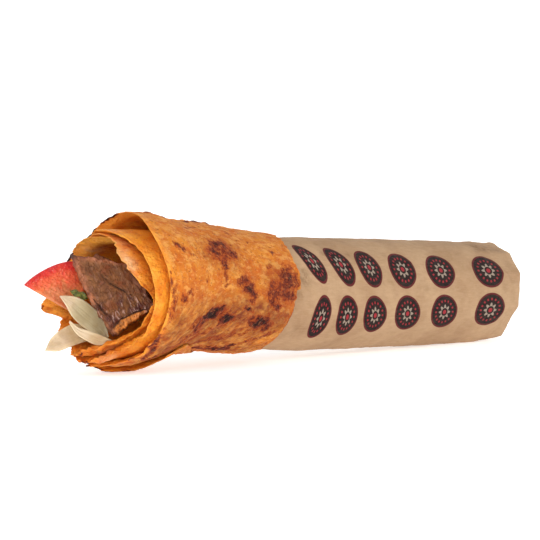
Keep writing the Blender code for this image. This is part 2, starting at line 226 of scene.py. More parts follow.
def shell(outside, inside, keep=None, around=False):
    """(points, faces) of a thin closed solid between two grids of points."""
    quads = cells_of(outside.shape[:2], around)
    quads = quads[keep] if keep is not None else quads.reshape(-1, 4)
    count = outside.shape[0] * outside.shape[1]
    starts, ends = quads.ravel(), np.roll(quads, -1, 1).ravel()
    lone = ~np.isin(starts * count + ends, ends * count + starts)
    walls = np.stack([ends[lone], starts[lone], starts[lone] + count, ends[lone] + count], -1)
    faces = np.concatenate([quads, quads[:, ::-1] + count, walls])
    points = np.concatenate([outside.reshape(-1, 3), inside.reshape(-1, 3)])
    used, faces = np.unique(faces, return_inverse=True)
    return points[used], faces.reshape(-1, 4), used


def soft_steps(count, edge=(0.0, 0.12, 0.32, 0.65, 1.1, 1.7), span=60.0, both=True):
    """Shares from 0 to 1 of a span in mm, with the close steps of an edge that rounds off at its ends."""
    near = np.array(edge) / span
    middle = np.linspace(near[-1], 1 - near[-1] if both else 1, count)
    return np.concatenate([near[:-1], middle, 1 - near[:-1][::-1] if both else []])


def rounding(distance, reach, power=2.0):
    """The share of its thickness that a sheet has at a distance from its edge."""
    part = np.clip(distance / reach, 0, 1)
    return np.maximum(1 - (1 - part) ** power, 0) ** (1 / power)


def joined(*grids):
    """Points or values of several grids as one flat array."""
    return np.concatenate([np.asarray(g).reshape(-1, *np.asarray(g).shape[2:]) for g in grids])


# ---- Materials ----
def tint(code):
    """A linear colour from its hexadecimal sRGB code."""
    parts = [int(code[i : i + 2], 16) / 255 for i in (0, 2, 4)]
    return (*[part / 12.92 if part <= 0.04045 else ((part + 0.055) / 1.055) ** 2.4 for part in parts], 1.0)


class Recipe:
    """A material's node tree around its Principled shader."""

    def __init__(self, name, **settings):
        self.material = bpy.data.materials.new(name)
        self.material.use_nodes = True
        self.tree = self.material.node_tree
        self.shader = self.tree.nodes["Principled BSDF"]
        for key, value in settings.items():
            self.shader.inputs[key.replace("_", " ")].default_value = value

    def node(self, kind, inputs, output=0, **settings):
        node = self.tree.nodes.new("ShaderNode" + kind)
        for key, value in settings.items():
            setattr(node, key, value)
        for key, value in inputs.items():
            self.feed(node.inputs[key], value)
        return node.outputs[output]

    def feed(self, socket, value):
        if isinstance(value, bpy.types.NodeSocket):
            self.tree.links.new(value, socket)
        else:
            socket.default_value = value

    def set(self, **values):
        for key, value in values.items():
            self.feed(self.shader.inputs[key.replace("_", " ")], value)

    def value(self, name):
        return self.node("Attribute", {}, "Fac", attribute_name=name)

    def place(self, name="grain", scale=(1, 1, 1), shift=(0, 0, 0)):
        """A stored position in millimetres, stretched and shifted."""
        stored = self.node("Attribute", {}, "Vector", attribute_name=name)
        scaled = self.node("VectorMath", {0: stored, 1: scale}, operation="MULTIPLY")
        return self.node("VectorMath", {0: scaled, 1: shift}, operation="ADD")

    def math(self, operation, *values):
        return self.node("Math", dict(enumerate(values)), operation=operation)

    def times(self, *values):
        return functools.reduce(functools.partial(self.math, "MULTIPLY"), values)

    def plus(self, *values):
        return functools.reduce(functools.partial(self.math, "ADD"), values)

    def spread(self, value, low, high):
        """A value made to run softly from 0 at low to 1 at high."""
        inputs = {"Value": value, "From Min": low, "From Max": high, "To Min": 0.0, "To Max": 1.0}
        return self.node("MapRange", inputs, interpolation_type="SMOOTHSTEP")

    def noise(self, place, size, low=0.35, high=0.65, detail=3.0, rough=0.55, bend=0.0):
        """Clouds of a size in millimetres, from 0 to 1."""
        inputs = {"Vector": place, "Scale": 1 / size, "Detail": detail, "Roughness": rough}
        inputs["Distortion"] = bend
        return self.spread(self.node("TexNoise", inputs, "Fac"), low, high)

    def clouds(self, size, low=0.35, high=0.65, detail=3.0, rough=0.55, bend=0.0, place="grain", **moved):
        """Clouds over a stored position."""
        return self.noise(self.place(place, **moved), size, low, high, detail, rough, bend)

    def mix(self, share, first, second):
        first = tint(first) if isinstance(first, str) else first
        second = tint(second) if isinstance(second, str) else second
        inputs = {"Factor": share, "A": first, "B": second}
        node = self.tree.nodes.new("ShaderNodeMix")
        node.data_type = "RGBA"
        for socket in node.inputs:
            if socket.name in inputs and socket.type == ("VALUE" if socket.name == "Factor" else "RGBA"):
                self.feed(socket, inputs[socket.name])
        return next(socket for socket in node.outputs if socket.type == "RGBA")

    def paint(self, colour, *coats):
        """A colour under several coats, each of factors that make up its share, and a colour code."""
        for *factors, code in coats:
            colour = self.mix(self.times(*factors), colour, code)
        return colour

    def bump(self, *layers):
        """Relief of several (height, depth in millimetres) layers."""
        normal = None
        for height, depth in layers:
            inputs = {"Height": height, "Distance": depth * MM, "Strength": 1.0}
            if normal:
                inputs["Normal"] = normal
            normal = self.node("Bump", inputs)
        self.set(Normal=normal)


# ---- The flatbread ----
SHEET, THIN_EDGE = 1.8, 0.7
LAP_UNDER, LAP_OVER = 17.0, 20.0
SLIT_START, SEAM_START = -38.0, -60.0
INNER_END, INNER_EDGE, OUTER_EDGE, OUTER_END = -1000.0, -122.0, -102.0, 316.0
TIGHT = ((-1000, 19.6), (-62, 25.6), (-42, 27.8), (-25, 29), (300, 29), (316, 28.5))
LOOSE = (
    (-1000, 22.4), (-900, 24.4), (-810, 25.6), (-720, 26), (-630, 25.2), (-540, 27.2), (-450, 28.3),
    (-400, 30.2), (-360, 31.9), (-330, 31), (-300, 28.9), (-275, 26.8), (-245, 27.6), (-180, 30.8),
    (-90, 31), (-50, 32.2), (0, 34), (90, 34.6), (180, 34.2), (260, 35.3), (300, 34.2), (316, 33.6),
)
TORN_EDGE = (
    (-1000, -106), (-975, -108.5), (-955, -108), (-944, -106), (-935, -101), (-920, -99), (-905, -105),
    (-892, -116.5), (-881, -117), (-876, -110.5), (-868, -111), (-858, -113), (-840, -114), (-810, -121.5),
    (-781, -119), (-765, -109), (-738, -102.4), (-726, -101), (-712, -108), (-683, -115), (-661, -111.5),
    (-630, -108), (-590, -103), (-510, -103), (-450, -117.5), (-415, -114), (-398, -107), (-380, -105.5),
    (-345, -106.5), (-320, -108.5), (-303, -112), (-285, -112), (-240, -100), (-160, -98), (-110, -106),
    (-88, -113), (-70, -107), (-55, -103), (0, -99), (45, -100), (87, -93), (137, -92), (165, -99),
    (190, -99), (250, -96.5), (272, -98), (288, -93), (316, -84),
)
FLAP_EDGE = (
    (-102, -15), (-70, -18), (-42, -16), (-17, -14), (10, -12), (51, -8), (90, -3), (180, -7), (316, -15),
)
FLAP_NOTCH, NOTCH_OPENS, NOTCH_CLOSES = 2.6, (2, 4), (34, 16)
LOOSE_END = (
    (-104, 276), (-95, 291), (-87, 300), (-80, 308), (-75, 310), (-66, 298), (-55, 274), (-45, 259),
    (-38, 256),
)
LOOSE_END_START = 200.0
# Where the outer end lies close on the turn below: how far over it, and where that starts and ends.
LAP_LYING, LAP_LETS_GO, LAP_CLOSES, LAP_ANGLES = 1.5, (-93, -80), (-50, -58), (235, 262)
LAP_THINNED, LAP_THIN_ANGLES = 0.55, (240, 262)
TUCK, TUCK_AT, TUCK_LENGTH, TUCK_REACH = 1.2, -79.0, 8.0, (52, 12)
# How puffed the sheet is near its torn edge, by winding angle, and how far in from the edge.
PUFF = (
    (-1000, 1), (-850, 1), (-800, 1.4), (-760, 1.2), (-720, 1), (-480, 1), (-450, 1.4),
    (-415, 1.8), (-385, 1.2), (-350, 1), (-110, 1), (-85, 1.4), (-50, 1.2), (-30, 1),
)
PUFF_REACH, TAPER, TAPER_REACH, THINNEST = 24.0, 0.74, 6.5, 0.08
SETTLE, FLARE, FLARE_ANGLES = 0.3, 1.3, (-870, -900)
# How far apart the two faces lie in the noise that colours and bends them.
FACE_GAP, INNER_FACE_SHIFT = 60, 400
# Charred tips of the torn edge: winding angle, half width in degrees, strength.
CHARRED_TIPS = (
    (-98, 9, 1), (-118, 5, 0.5), (-60, 4, 0.5), (268, 7, 1), (288, 4, 0.6), (-800, 4, 0.6), (-446, 6, 0.6),
    (110, 14, 0.9), (135, 12, 1), (158, 14, 1), (186, 14, 0.9), (-885, 4, 0.5), (-930, 5, 0.5),
    (-700, 2, 0.4),
)
ARC = math.radians(30.0)
# Char marks on the outer face: station and angle, half length and half width in mm, slant, and how black.
CHAR_MARKS = (
    (-60, 38, 5.6, 2, 0, 0.64), (-63.5, 31, 3, 3.2, 0, 0.68), (-58, 32, 4, 3.4, 0, 0.52),
    (-53.5, 30, 2.6, 2.4, 10, 0.68), (-59.5, 20, 2, 2.4, -30, 0.64), (-60.5, 11, 0.9, 1.8, 0, 0.5),
    (-61, 4, 1.1, 1.1, 0, 0.6), (-88.2, 32, 2.6, 1.1, -30, 0.62), (-81, 27.5, 1.6, 0.8, -35, 0.46),
    (-49, 6, 2.6, 2.2, -20, 0.62), (-46.5, 1, 3.2, 2.4, -30, 0.84), (-43, -6, 1.8, 2.4, 0, 0.64),
    (-52.5, 5, 1.2, 1.6, 0, 0.5), (-67, -22, 4.8, 1.9, 14, 1), (-72.5, -24, 2, 1.3, 10, 0.8),
    (-62.5, -18, 2, 1.2, 20, 0.8), (-57, -28, 3.2, 2, 24, 1), (-54, -25, 1.8, 1.2, 30, 0.9),
    (-45, -17.5, 2.2, 0.9, 0, 1.05), (-35, -29, 4.4, 2.4, 10, 0.88), (-29.5, -33, 2.4, 1.8, 20, 0.72),
    (-41, -25, 2, 1.4, 0, 0.66), (-75, -31, 2.6, 3.2, 0, 0.6), (-80, -27, 1.6, 1.6, 0, 0.56),
    (-87.5, -1, 1.3, 0.9, 0, 0.7), (-91, -6, 2.2, 1.4, -20, 0.5), (-18.5, 12, 4.6, 4.4, 0, 0.68),
    (-22, 2, 4.2, 3.6, 0, 0.64), (-17.5, -3, 3, 2.6, 0, 0.62), (-30, 1, 3, 2.8, 0, 0.64),
    (-29, -8, 2.6, 2, 0, 0.68), (-26.5, -13, 2.6, 1.6, 0, 0.6), (-13.5, 8, 1.6, 2.4, 0, 0.66),
    (-24, 39, 1, 0.9, 0, 0.66), (-51, -67, 8.4, 2.2, 6, 0.72), (-42.5, -60, 3.4, 1.6, 20, 0.62),
    (-97.5, 6, 1, 3, 0, 0.52), (-96.5, -12, 1.4, 3.4, 0, 0.52), (-99, -40, 1.2, 4, 0, 0.66),
    (-97.5, -52, 1, 4.4, 0, 0.66), (-90, -60, 4.4, 1, 24, 0.56), (-76, -84, 1.2, 1, 0, 0.8),
    (-60, -50, 8, 1.2, 24, 0.46), (-47, -44, 9, 1.2, 26, 0.46), (-36, -52, 8, 1.1, 26, 0.46),
    (-70, -42, 6, 1.2, 26, 0.5), (-82, -44, 5, 1.4, 40, 0.5), (-25, -42, 6, 1.1, 30, 0.46),
    (-72, 56, 1, 0.9, 0, 0.5), (-45, 60, 1.2, 1, 0, 0.44), (-30, 22, 1.6, 1.2, 0, 0.46),
    (-67, 60, 2, 1, 0, 0.5), (-36, 48, 1, 0.8, 0, 0.5), (-74, 8, 1, 1, 0, 0.5),
    (-80, 88, 2.2, 1.6, 0, 0.9), (-73, 84, 1.6, 1, 0, 0.7), (-54, 82, 2.4, 1.4, 0, 0.66),
    (-47, 80, 1.6, 1.2, 0, 0.7), (-41, 92, 2, 1.4, 0, 0.7), (-63, 76, 1.4, 1, 0, 0.6),
    (-100, 108, 1.4, 5, 0, 0.9), (-99, 128, 1.6, 7, 0, 0.96), (-102, 150, 2, 7, 0, 1),
    (-103, 176, 1.8, 8, 0, 0.9), (-97, 262, 3, 3, 0, 0.95), (-96, 284, 2, 4, 0, 0.9),
)
# Broad brown washes: station, angle, half length, half width, slant, strength.
WASHES = (
    (-52, -24, 20, 6, 4, 1), (-30, -28, 14, 6, 10, 0.9), (-82, -16, 7, 5, 0, 0.5),
    (-76, -31, 6, 5, 0, 0.8), (-60, -38, 12, 3, 24, 0.8), (-86, 292, 6, 4, 0, 0.9),
    (-64, -50, 24, 4.5, 14, 0.8), (-90, -40, 5, 9, 0, 0.9), (-24, 4, 8, 7, 0, 0.7),
    (-58, 30, 8, 6, 0, 0.6), (-47, 1, 5, 5, 0, 0.5), (-36, -66, 14, 3.5, 4, 0.6),
)
# Pale places of the greasy inner turns, on both their faces.
PALE_MARKS = (
    (-112.5, -688, 3.2, 6.5, 0, 1), (-106.5, -638, 2.6, 4.5, 0, 0.6), (-108.5, -661, 3, 4.5, 0, 0.6),
    (-99, -957, 3.4, 2.4, 0, 0.8), (-110, -785, 4, 2.5, 20, 0.4), (-113, -430, 2.5, 2.5, 0, 0.5),
)
# Reddish places on both faces: reddish-brown spots, and painted shade in the first, the hollow of the
# innermost turn, and the second, along the crease between two turns.
RED_AND_SHADE_MARKS = (
    (-93, -967, 6, 5, 0, 1), (-101, -690, 2.4, 12, 0, 0.6), (-107, -668, 1, 1.6, 0, 0.8),
    (-108.5, -690, 1.2, 1.2, 0, 0.6), (-103, -705, 1.4, 1.2, 0, 0.7), (-115, -884, 1.3, 1.2, 0, 0.8),
    (-112, -801, 4, 2.4, 0, 0.5), (-95, 60, 5, 9, 0, 0.5), (-116, -805, 1.5, 1.5, 0, 0.6),
    (-100, -430, 5, 1.6, 30, 0.5), (-101, -310, 2, 9, 0, 0.4),
)
# Blisters of the outer face: station, angle, radius and height in mm.
BLISTERS = (
    (-80.5, 88, 2.3, 0.95), (-73.5, 84, 1.5, 0.55), (-66.5, 84, 1.2, 0.4), (-62, 82, 1.5, 0.5),
    (-54.5, 84, 1.7, 0.6), (-47.5, 82, 1.5, 0.6), (-41, 92, 1.8, 0.5), (-34, 86, 1.2, 0.4),
    (-89.5, 34, 1.6, 0.4), (-46.5, 1, 2.2, 0.4), (-59, 36, 3, 0.35), (-20, 8, 3.2, 0.4),
)
SCATTERED_BLISTERS = 150
FAR_MARKS = 46


def free_radius(angle, x):
    """The outer face's radius at a winding angle, tight in the sleeve and loose towards the mouth."""
    opened = (through(GIRTH, x) - GIRTH[-1][1]) / (GIRTH[0][1] - GIRTH[-1][1])
    seam = np.where(angle > 0, angle, np.minimum(0.0, angle + OUTER_END - between(LOOSE_END, x)))
    tight = between(TIGHT, seam) * sleeve_radius(x) / SLEEVE_RADIUS
    return tight + opened * (through(LOOSE, angle) - tight)


def sheet_radius(angle, x):
    """The free radius, but tucked in underneath, where the outer end lies close on the turn below."""
    lying = free_radius(angle - 360, x) + LAP_LYING
    share = fade(angle, *LAP_ANGLES) * fade(x, *LAP_LETS_GO) * fade(x, *LAP_CLOSES)
    radius = free_radius(angle, x)
    radius = radius + share * (np.minimum(lying, radius) - radius)
    from_lowest = np.abs((angle + 90 + 180) % 360 - 180)
    return radius - TUCK * np.exp(-(((x - TUCK_AT) / TUCK_LENGTH) ** 2)) * fade(from_lowest, *TUCK_REACH)


def sheet_thickness(angle, x):
    """Full, but for the lapped seam, where the outer end lies on the turn below."""
    under = np.minimum(1.0, np.abs(angle - OUTER_EDGE) / LAP_UNDER + fade(x, SLIT_START, SEAM_START))
    over = np.minimum(1.0, (OUTER_END - angle) / LAP_OVER)
    over = np.minimum(over, 1 - LAP_THINNED * fade(angle, *LAP_THIN_ANGLES))
    return THIN_EDGE + (SHEET - THIN_EDGE) * np.minimum(under, over)


def wound_angle(angle, x):
    """The outermost end is cut slanting, so its last stretch is shorter towards the mouth."""
    reach = (between(LOOSE_END, x) - LOOSE_END_START) / (OUTER_END - LOOSE_END_START)
    return np.where(angle <= LOOSE_END_START, angle, LOOSE_END_START + (angle - LOOSE_END_START) * reach)


def marked(x, angle, marks, wander):
    """The strongest of several soft oval marks at each point, their borders wandering."""
    s = angle * ARC
    warped_x = x + wander * layered(x / 4.5, s / 4.5, seed=31)
    warped_s = s + wander * layered(x / 4.5, s / 4.5, seed=37)
    total = np.zeros(x.shape)
    for at, turn, long, wide, slant, strength in marks:
        across, along = warped_s - turn * ARC, warped_x - at
        lean = math.radians(slant)
        u = (along * math.cos(lean) + across * math.sin(lean)) / long
        v = (across * math.cos(lean) - along * math.sin(lean)) / wide
        total = np.maximum(total, strength * np.exp(-0.3 * (u * u + v * v) ** 1.3))
    return total


def char_marks(x, angle):
    """How charred the outer face is, from the marks on the near side and scattered ones on the far side."""
    random = np.random.default_rng(11)
    marks = list(CHAR_MARKS)
    for _ in range(FAR_MARKS):
        long, wide = random.uniform(0.8, 5.0), random.uniform(0.7, 2.6)
        place = random.uniform(-96, -14), random.uniform(98, 280)
        marks.append((*place, long, wide, random.uniform(-40, 40), random.uniform(0.4, 0.95)))
    return marked(x, angle, marks, 1.3)


def blisters(x, angle):
    """Small raised bubbles, those along the crest and many scattered ones, as a height in mm."""
    random = np.random.default_rng(5)
    bubbles = list(BLISTERS)
    for _ in range(SCATTERED_BLISTERS):
        place = random.uniform(-97, -14), random.uniform(-100, 300)
        bubbles.append((*place, random.uniform(0.9, 2.2), random.uniform(0.1, 0.42)))
    total = np.zeros(x.shape)
    for at, turn, radius, height in bubbles:
        gap = ((x - at) ** 2 + ((angle - turn) * ARC) ** 2) / radius**2
        total = np.maximum(total, height * np.exp(-1.3 * gap**1.4))
    return total


def low_side(x, angle):
    """1 on the near side's lower part, where the sheet is gathered in slanting creases."""
    return fade(angle, -86, -66) * fade(angle, -2, -22) * fade(x, -101, -92) * fade(x, -13, -26)


def along_creases(x, s):
    """(across, along) distances of the gathered part's slanting creases, in mm."""
    return (s - 0.85 * x) / 1.31, (0.85 * s + x) / 1.31


def bread_relief(x, s, angle):
    """Pillows and fine unevenness of the baked face, and the slanting creases of its lower near side."""
    pillows = 0.26 * noise(x / 16, s / 13, seed=1) + 0.24 * noise(x / 6.5, s / 6, seed=2)
    fine = 0.18 * noise(x / 2.8, s / 2.6, seed=4) + 0.10 * ridges(x / 3.4, s / 3.4, seed=3)
    across, along = along_creases(x, s)
    bent = across + 1.8 * noise(x / 15, s / 12, seed=6)
    folds = ridges(bent / 5.0, along / 17, seed=5) + 0.6 * ridges(bent / 2.4, along / 9, seed=7)
    rim = fade(x, -101, -97) * fade(x, -82, -91) * fade(angle, -75, -55) * fade(angle, 34, 10)
    bends = ridges((x + 0.22 * s) / 3.0, s / 17, seed=9)
    return pillows + fine + 0.36 * low_side(x, angle) * folds + 0.36 * rim * bends


def crumpling(x, s, angle, from_edge):
    """How the torn layers bend in and out together near the mouth, most at its lower left."""
    way = from_below(angle)
    lower = fade(way, 200, 235) + fade(way, -20, -45)
    swing = 1.5 * layered(x / 8, np.sin(np.radians(angle)) * 5, np.cos(np.radians(angle)) * 5, seed=26)
    own = 0.7 * layered(x / 3.2, s / 3.2, seed=25)
    return lower * fade(from_edge, 14, 1) * swing + (0.35 + 0.65 * lower) * fade(from_edge, 8, 1) * own


def torn_edge(angle):
    """Where the sheet ends at the mouth: smooth at the outer rim's near side, ragged elsewhere."""
    s = angle * ARC
    near_rim = fade(angle, -50, -30) * fade(angle, 90, 60)
    second_rim = fade(angle, -395, -380) * fade(angle, -310, -325)
    ragged = 1.0 - 0.8 * np.maximum(near_rim, second_rim)
    tears = 0.9 * layered(s / 3.4, seed=21) + 0.9 * np.clip(noise(s / 1.9, seed=22) - 0.3, 0, 1)
    way = from_below(angle)
    frayed = fade(way, 215, 240) + fade(way, -25, -50)
    frays = 1.6 * layered(s / 4.2, seed=27) - 2.2 * np.clip(noise(s / 1.6, seed=28) - 0.35, 0, 1)
    tears = tears + frayed * frays
    return through(TORN_EDGE, angle) + ragged * tears


EDGE_STEPS = np.array((0.0, 0.12, 0.3, 0.58, 0.95, 1.5, 2.2, 3.0))


def bread_grid(angles, reach, rows, back):
    """(station, distance from the torn edge) of a grid from the mouth to a station and the rows behind it."""
    edge = torn_edge(angles)[:, None]
    share = np.linspace(0, 1, rows + 1)[None, 1:]
    start = edge + EDGE_STEPS[-1]
    x = np.concatenate([edge + EDGE_STEPS[None], start + (reach - start) * share, back], 1)
    return x, x - edge


def bread_layer(name, angles, x, from_edge, to_flap, material, keep=None):
    """A stretch of the rolled sheet, with the attributes that its material is coloured by."""
    angle = np.broadcast_to(angles[:, None], x.shape)
    s = angle * ARC
    full = sheet_thickness(angle, x)
    radius = sheet_radius(angle, x)
    near = fade(from_edge, TAPER_REACH, 0.0)
    puff = 1 + (between(PUFF, angle) - 1) * fade(from_edge, PUFF_REACH, 8.0) * fade(from_edge, 0.0, 4.0)
    body = full * (1 - TAPER * near) * puff
    thick = np.maximum(body * rounding(from_edge, 0.7, 2.2) * rounding(to_flap, 0.8, 2.6), THINNEST)
    settle = SETTLE * fade(to_flap, 9, 0)
    flare = FLARE * fade(angle, *FLARE_ANGLES) * fade(from_edge, 9.0, 0.0)
    middle = radius - body / 2 - settle + flare
    inner = angle < OUTER_EDGE
    calm = np.minimum(1, 0.15 + fade(from_edge, 0, 2.0))
    baked = bread_relief(x, s, angle) * np.where(inner, 0.4, 1.0) + np.where(inner, 0.0, blisters(x, angle))
    outward = baked * calm * np.clip(thick / full, 0, 1)
    middle = middle + np.where(inner, 1.0, 0.25) * crumpling(x, s, angle, from_edge)
    inward = 0.3 * bread_relief(x + INNER_FACE_SHIFT, s, angle) * np.where(x < SEAM_START, 1, 0.3)
    turned = wound_angle(angle, x)
    outside = about_axis(x, turned, middle + thick / 2 + outward)
    inside = about_axis(x, turned, middle - thick / 2 + 0.35 * outward * calm - 0.25 * np.abs(inward) * calm)
    points, faces, used = shell(outside, inside, keep)
    face = np.concatenate([np.zeros(x.size), np.ones(x.size)])
    flat = [np.tile(value.ravel(), 2) for value in (x, s, from_edge, angle)]
    tips = np.zeros(x.shape)
    near_tip = fade(from_edge, 1.6 + 1.1 * noise(s / 1.5, seed=29), 0.2)
    for turn, half, strength in CHARRED_TIPS:
        tips = np.maximum(tips, strength * fade(np.abs(angle - turn), half, 0.5 * half) * near_tip)
    charred = np.concatenate([np.maximum(char_marks(x, angle) * ~inner, tips).ravel(), tips.ravel()])
    # Painted shade along the outer turn's edge where it lies on the paper, added to the charring.
    flap_edge_shade = fade(to_flap, 1.3, 0.3) * fade(angle, 4, -18) * fade(angle, -100, -80) * (x < -5) * ~inner
    charred[: x.size] = np.maximum(charred[: x.size], 0.5 * flap_edge_shade.ravel())
    washed = np.concatenate([marked(x, angle, WASHES, 2.5).ravel() * ~inner.ravel(), np.zeros(x.size)])
    dry = np.concatenate([(~inner * fade(from_edge, 0.3, 3.5)).ravel(), np.zeros(x.size)])
    across, along = along_creases(flat[0], flat[1])
    # Painted light on the inner faces of the farthest turn's edge and of the upper turns near the mouth.
    farthest = fade(flat[3], -870, -880) * fade(flat[2], 14, 7)
    upper = fade(flat[3], 60, 90) * fade(flat[3], 200, 170) * fade(flat[2], 12, 3)
    way = from_below(flat[3])
    lower = (flat[3] < OUTER_EDGE) * np.maximum(fade(way, 190, 225), fade(way, -30, -60))
    values = {
        "grain": np.stack([flat[0], flat[1], FACE_GAP * face], -1)[used],
        "lines": np.stack([along / 8, across / 2.6, FACE_GAP * face], -1)[used],
        "low": (low_side(flat[0], flat[3]) * (1 - face))[used],
        "char": charred[used],
        "dry": dry[used],
        "rim": np.exp(-flat[2] / 0.8)[used],
        "wash": washed[used],
        "pale": (marked(flat[0], flat[3], PALE_MARKS, 1.6) * (flat[3] < OUTER_EDGE))[used],
        "red": marked(flat[0], flat[3], RED_AND_SHADE_MARKS, 1.6)[used],
        "bright": (np.maximum(farthest, upper) * face)[used],
        # deep: painted shade, darker further into the roll from the torn edge and on the lower inner turns
        "deep": np.maximum(fade(flat[2], 5, 26) * np.maximum(face, flat[3] < OUTER_EDGE), lower)[used],
        "relief": np.concatenate([outward.ravel(), inward.ravel()])[used],
    }
    piece(name, points, faces, material, ["flatbread"], values=values, sharp=70)


def bread_material():
    """Baked flatbread: its dry outer face, its greasy inner turns, and the marks of both, with painted light
    and shade on its relief and inside the roll.
    """
    r = Recipe("baked flatbread", Specular_IOR_Level=0.14, Subsurface_Weight=0.15, Subsurface_Scale=0.002,
               Subsurface_Radius=(1.0, 0.4, 0.1))
    wide = (0.7, 1, 1)
    grain = r.place(scale=wide)
    dry, char, low = r.value("dry"), r.value("char"), r.value("low")
    broad = r.noise(grain, 11, 0.38, 0.62, detail=3)
    patches = r.clouds(4.4, 0.48, 0.60, detail=4, rough=0.6, scale=wide, shift=(31, 7, 0))
    mottle = r.clouds(3.4, 0.49, 0.60, detail=4, rough=0.65, scale=wide, shift=(3, 50, 0))
    flakes = r.clouds(1.4, 0.54, 0.66, detail=3, rough=0.6, scale=wide, shift=(60, 5, 0))
    freckles = r.clouds(1.6, 0.61, 0.69, detail=3, rough=0.65, scale=wide, shift=(9, 9, 9))
    crumbs = r.noise(grain, 0.8, 0.3, 0.7, detail=3, rough=0.6)
    lines = r.clouds(1.0, 0.4, 0.6, detail=3, rough=0.6, place="lines")
    golden = r.clouds(15, 0.46, 0.58, detail=3, scale=wide, shift=(40, 20, 0))
    outer = r.paint(
        r.mix(broad, "C8651A", "D2781F"),
        (golden, 0.5, "DA8C2E"),
        (patches, 0.65, "E6A654"),
        (mottle, 0.65, "C2540F"),
        # painted shade along the gathered creases' valleys and painted highlight along their crests, on the
        # same lines that bump them
        (low, r.spread(lines, 0.5, 0.1), 0.42, "8E3E1C"),
        (low, r.spread(lines, 0.6, 0.95), 0.35, "EFA650"),
        (freckles, 0.85, "8E3212"),
        (flakes, 0.35, "EFB56A"),
    )
    soft = r.clouds(6.0, 0.35, 0.65, detail=2, scale=wide, shift=(17, 4, 0))
    stains = r.clouds(3.0, 0.58, 0.68, detail=3, shift=(70, 0, 5))
    greasy = r.paint(
        r.mix(soft, "E6801A", "F69E2C"),
        (mottle, 0.3, "DC640E"),
        (patches, 0.3, "F8B850"),
        (stains, 0.6, "B8420E"),
        # painted shade deeper in the roll and on the lower inner turns
        (r.value("deep"), 0.5, "C04E08"),
        # painted light on inner faces that lie in shade
        (r.value("bright"), 0.9, "FFB048"),
        (r.value("pale"), r.plus(0.45, r.times(patches, 0.4)), "F8C898"),
        # reddish-brown spots, and painted shade in the hollow and along a crease
        (r.value("red"), r.plus(0.55, r.times(mottle, 0.4)), "A8340A"),
    )
    # Painted light and shade on the baked relief: lighter on its crests, darker in its valleys, and the brown
    # washes fainter on the crests.
    crest = r.spread(r.value("relief"), 0.2, 0.75)
    valley_shade = r.spread(r.value("relief"), -0.1, -0.6)
    washed = r.times(r.value("wash"), r.plus(0.62, r.times(broad, 0.18), r.times(mottle, 0.2)))
    edge = r.clouds(1.2, 0.3, 0.7, detail=4, rough=0.75, shift=(0, 0, 20))
    drift = r.clouds(3.0, 0.35, 0.65, detail=3, shift=(8, 0, 30))
    ragged = r.plus(r.times(r.plus(edge, -0.5), 0.42), r.times(r.plus(drift, -0.5), 0.26))
    # Charring, and the painted shade along the edge on the paper, darkened in steps.
    burnt_and_edge_shade = r.times(r.plus(char, ragged), r.spread(char, 0.05, 0.2))
    colour = r.paint(
        r.mix(dry, greasy, outer),
        (r.value("rim"), 0.35, "F0A244"),
        (crumbs, 0.12, "F0B060"),
        (crest, 0.35, "EBA24C"),
        (valley_shade, 0.5, "984212"),
        (washed, r.plus(1.0, r.times(crest, -0.4)), "743222"),
        (r.spread(burnt_and_edge_shade, 0.06, 0.44), 0.75, "A64618"),
        (r.spread(burnt_and_edge_shade, 0.32, 0.64), 0.9, "662418"),
        (r.spread(burnt_and_edge_shade, 0.6, 0.9), 0.95, "26120F"),
        (r.spread(char, 0.4, 0.7), flakes, 0.4, "BE7648"),
    )
    r.set(Base_Color=colour, Roughness=r.plus(0.42, r.times(dry, 0.22), r.times(crumbs, 0.12)))
    pores = r.noise(grain, 1.5, 0.3, 0.75, detail=4, rough=0.6)
    r.bump((pores, 0.45), (r.times(low, lines), 0.45), (flakes, 0.1), (crumbs, 0.05))
    return r.material


# The sheet's grid: columns round the roll, rows along it, and the last rows at the flap and in the sleeve.
OUTER_COLUMNS, OUTER_ROWS, FLAP_ROWS = 401, 76, 30
INNER_COLUMNS, SEAM_COLUMNS, INNER_ROWS, INNER_REACH = 701, 18, 28, -92.0
FLAP_STEPS = (2.2, 1.4, 0.85, 0.45, 0.2, 0.07, 0.0)
INNER_STATIONS, HIDDEN_STATIONS = (-78, -62, -50, SLIT_START), (-20, 5, 60, 146)
NO_FLAP_NEAR = 50.0


def bread():
    """The rolled sheet: its outer turn up to the flap, and the inner turns, coarser inside the sleeve."""
    material = bread_material()
    angles = np.linspace(OUTER_EDGE, OUTER_END, OUTER_COLUMNS)
    flap = through(FLAP_EDGE, angles)[:, None] + 0.6 * layered(angles * ARC / 3.4, seed=24)[:, None]
    flap += FLAP_NOTCH * (fade(angles, *NOTCH_OPENS) * fade(angles, *NOTCH_CLOSES))[:, None]
    share = np.linspace(0, 1, FLAP_ROWS + 1)[None, 1:]
    back = SLIT_START + (flap - 3.0 - SLIT_START) * share
    back = np.concatenate([back, flap - np.array(FLAP_STEPS)[None]], 1)
    x, from_edge = bread_grid(angles, SLIT_START, OUTER_ROWS, back)
    bread_layer("bread_outer", angles, x, from_edge, flap - x, material)
    seam = np.linspace(INNER_EDGE, OUTER_EDGE, SEAM_COLUMNS)[1:]
    angles = np.concatenate([np.linspace(INNER_END, INNER_EDGE, INNER_COLUMNS), seam])
    stations = np.array(INNER_STATIONS + HIDDEN_STATIONS, float)
    back = np.broadcast_to(stations, (len(angles), len(stations)))
    x, from_edge = bread_grid(angles, INNER_REACH, INNER_ROWS, back)
    x = np.maximum.accumulate(x, 1)
    keep = np.ones((len(angles) - 1, x.shape[1] - 1), bool)
    keep[INNER_COLUMNS - 1 :, -len(HIDDEN_STATIONS) :] = False
    bread_layer("bread_inner", angles, x, from_edge, np.full(x.shape, NO_FLAP_NEAR), material, keep)


